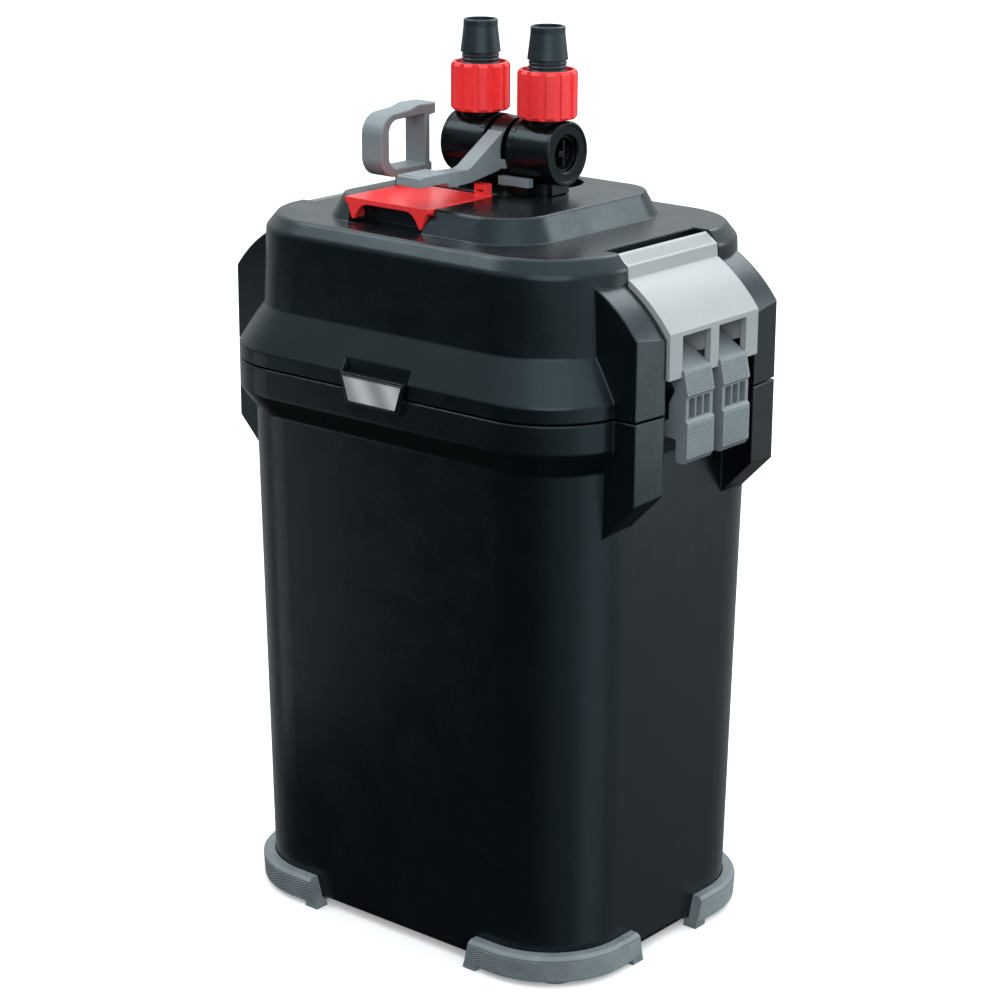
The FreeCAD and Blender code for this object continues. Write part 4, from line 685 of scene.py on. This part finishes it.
def add_hem(piece, node, height, width):
    """The bag's flat sewn edge: a thin band that stands out round its sides."""
    low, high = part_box(node)
    middle = (low + high) / 2
    half_x, half_y = high.x - middle.x, high.y - middle.y
    level = low.z + (high.z - low.z) * height
    corner = 7  # the exponent of the rounded rectangle that it follows
    bm = bmesh.new()
    rings = []
    for number in range(HEM_STEPS):
        angle = number / HEM_STEPS * math.tau
        ray = Vector((math.cos(angle), math.sin(angle), 0))
        straight = 1 / max(abs(ray.x) / half_x, abs(ray.y) / half_y)
        rounded = (abs(ray.x / half_x) ** corner + abs(ray.y / half_y) ** corner) ** (-1 / corner)
        reach = min(straight, rounded) - 0.4 * MM
        wave = 0.7 * MM * math.sin(number * math.tau / 9)
        ring = []
        for inset, side in ((0, 0), (0.8 * MM, 1), (width, 1), (width, -1), (0.8 * MM, -1)):
            point = middle + ray * (reach - inset)
            ring.append(bm.verts.new((point.x, point.y, level + wave + side * 0.6 * MM)))
        rings.append(ring)
    join_rings(bm, rings)
    hem = add_piece(f"{piece.name}_hem", bm, "tank", "bag_mesh")
    for polygon in hem.data.polygons:
        polygon.use_smooth = True


def add_soft_media():
    """The foam pads, the floss pad and the carbon bag, swollen and creased as soft goods."""
    inner = soft_start("foam_inner", "foam_pad_inner", (0.8 * MM, 0.6 * MM, 0.6 * MM), (0.05, 0.0, 0.0))
    outer = soft_start("foam_outer", "foam_pad_outer", (0.8 * MM, 0.6 * MM, 0.6 * MM), (0.05, 0.0, 0.0))
    floss = soft_start("floss_pad", "polishing_pad", (1.6 * MM, 1.6 * MM, 2.0 * MM), (0.0, 0.0, 0.09))
    bag = soft_start("carbon_pouch", "carbon_bag", (5.0 * MM, 5.0 * MM, 4.0 * MM), (0.0, 0.0, 0.22))
    pieces = [inner, outer, floss, bag]
    pieces = swell(pieces, 3.5 * MM)
    inner, outer, floss, bag = pieces
    for pad, node in ((inner, "foam_pad_inner"), (outer, "foam_pad_outer")):
        ruffle(pad, 11 * MM, 0.35 * MM)
        finish_soft(pad, node)
    ruffle(floss, 14 * MM, 0.9 * MM)
    pinch(floss, "polishing_pad", (0.33, 0.66), 1.9 * MM, 1.6 * MM)
    finish_soft(floss, "polishing_pad")
    ruffle(bag, 6 * MM, 1.1 * MM)
    ruffle(bag, 19 * MM, 2.4 * MM)
    finish_soft(bag, "carbon_bag")
    add_hem(bag, "carbon_bag", 0.5, 7 * MM)


add_soft_media()

# ---------------------------------------------------------------- stage, light and camera

UPWARD = (0.1, 0.0, 1.05)
DARK_SIDE = (-0.35, -0.94, 0.0)
CORNER_SIDE = (0.955, 0.08, -0.285)
LENS, SENSOR_WIDTH = 96.72, 36.0  # mm
CAMERA_PLACE = (0.76469, -0.92210, 0.56551)
CAMERA_AZIMUTH, CAMERA_ELEVATION, CAMERA_ROLL = (math.radians(angle) for angle in (39.643, 17.186, 0.278))


def make_floor():
    """A pale paper floor, which the object doesn't mirror and which throws no light back on it."""
    bm = bmesh.new()
    bmesh.ops.create_circle(bm, cap_ends=True, segments=96, radius=14.0)
    floor = new_mesh("floor", bm)
    glow = 0.24
    shader = Shader("floor_paper")
    mottle = shader.noise(0.4, 3.0)
    tint = shader.mix(shader.span(mottle, 0.3, 0.7), rgb(0.88, 0.885, 0.89), rgb(0.90, 0.90, 0.90))
    floor.data.materials.append(shader.finish(colour=tint, roughness=0.85, specular=0.0))
    shader.set(shader.surface.inputs["Emission Color"], rgb(1.0, 1.0, 1.0))
    shader.set(shader.surface.inputs["Emission Strength"], glow)
    floor.visible_glossy = False
    floor.visible_diffuse = False
    floor.visible_shadow = False


def make_world():
    """Studio walls that are bright above, dim below, darkest in front, and lit beside the right corner."""
    world = bpy.data.worlds.new("studio")
    scene.world = world
    world.use_nodes = True
    tree = world.node_tree
    direction = tree.nodes.new("ShaderNodeTexCoord").outputs["Generated"]

    def toward(axis, span, values):
        """A value that changes with how far a direction lies along an axis."""
        dot = tree.nodes.new("ShaderNodeVectorMath")
        dot.operation = "DOT_PRODUCT"
        dot.inputs[1].default_value = axis
        tree.links.new(direction, dot.inputs[0])
        change = tree.nodes.new("ShaderNodeMapRange")
        change.interpolation_type = "SMOOTHSTEP" if axis == DARK_SIDE else "LINEAR"
        change.inputs["From Min"].default_value, change.inputs["From Max"].default_value = span
        change.inputs["To Min"].default_value, change.inputs["To Max"].default_value = values
        tree.links.new(dot.outputs["Value"], change.inputs["Value"])
        return change.outputs["Result"]

    # sides times how far above the floor's level, plus overhead, plus the corner's light
    total = tree.nodes.new("ShaderNodeMath")
    total.operation = "MULTIPLY_ADD"
    tree.links.new(toward(DARK_SIDE, (0.1, 0.85), (0.38, 0.0)), total.inputs[0])
    tree.links.new(toward((0.0, 0.0, 1.0), (-0.62, -0.34), (0.0, 1.0)), total.inputs[1])
    tree.links.new(toward(UPWARD, (-0.2, 0.8), (0.02, 1.03)), total.inputs[2])
    full = tree.nodes.new("ShaderNodeMath")
    full.operation = "ADD"
    tree.links.new(total.outputs["Value"], full.inputs[0])
    tree.links.new(toward(CORNER_SIDE, (0.90, 0.99), (0.0, 0.45)), full.inputs[1])
    background = tree.nodes["Background"]
    background.inputs["Color"].default_value = rgb(0.91, 0.975, 1.0)
    tree.links.new(full.outputs["Value"], background.inputs["Strength"])


def softbox(name, place, target, size, radiance):
    """A rectangular light of even radiance. The camera doesn't see it, and gloss does."""
    light = bpy.data.lights.new(name, "AREA")
    light.shape = "RECTANGLE"
    light.size, light.size_y = size
    light.energy = radiance * math.pi * size[0] * size[1]
    item = bpy.data.objects.new(name, light)
    scene.collection.objects.link(item)
    item.location = place
    item.rotation_mode = "QUATERNION"
    item.rotation_quaternion = (Vector(target) - Vector(place)).to_track_quat("-Z", "Y")
    item.visible_camera = False


def make_lights():
    """One broad light from overhead, and softboxes that draw the highlights along edges and corners."""
    sun = bpy.data.lights.new("overhead", "SUN")
    sun.energy = 0.7
    sun.angle = math.radians(75)
    item = bpy.data.objects.new("overhead", sun)
    scene.collection.objects.link(item)
    item.rotation_euler = (math.radians(-20), math.radians(-14), 0)
    boxes = (
        # name, place, target, size, radiance
        ("front_left_high", (-0.80, -0.52, 1.28), (0, 0, 0.3), (0.5, 0.5), 4.6),
        ("front_right", (0.80, -0.95, 0.80), (0, 0, 0.25), (1.1, 0.9), 1.5),
        ("back_high", (0.0, 1.15, 1.30), (0, 0, 0.3), (0.6, 0.6), 2.8),
        ("back_right", (0.85, 1.05, 0.75), (0, 0, 0.3), (0.5, 0.5), 4.0),
        ("left_low", (-0.44, -0.32, 0.05), (-0.08, -0.08, 0.15), (0.22, 0.30), 0.6),
        ("right_low", (0.66, 0.50, 0.12), (0.11, 0.0, 0.28), (0.24, 0.22), 1.7),
    )
    for box in boxes:
        softbox(*box)


def make_camera():
    """The camera stands front right and a little above, with a long lens."""
    azimuth, elevation, roll = CAMERA_AZIMUTH, CAMERA_ELEVATION, CAMERA_ROLL
    ahead = Vector((
        -math.sin(azimuth) * math.cos(elevation), math.cos(azimuth) * math.cos(elevation), -math.sin(elevation),
    ))
    level = Vector((math.cos(azimuth), math.sin(azimuth), 0))
    above = level.cross(ahead)
    right = level * math.cos(roll) + above * math.sin(roll)
    up = above * math.cos(roll) - level * math.sin(roll)
    camera = bpy.data.cameras.new("camera")
    camera.lens = LENS
    camera.sensor_width = SENSOR_WIDTH
    item = bpy.data.objects.new("camera", camera)
    scene.collection.objects.link(item)
    turn = Matrix((right, up, -ahead)).transposed().to_4x4()
    item.matrix_world = Matrix.Translation(CAMERA_PLACE) @ turn
    scene.camera = item


make_floor()
make_world()
make_lights()
make_camera()
scene.view_settings.view_transform = "Standard"
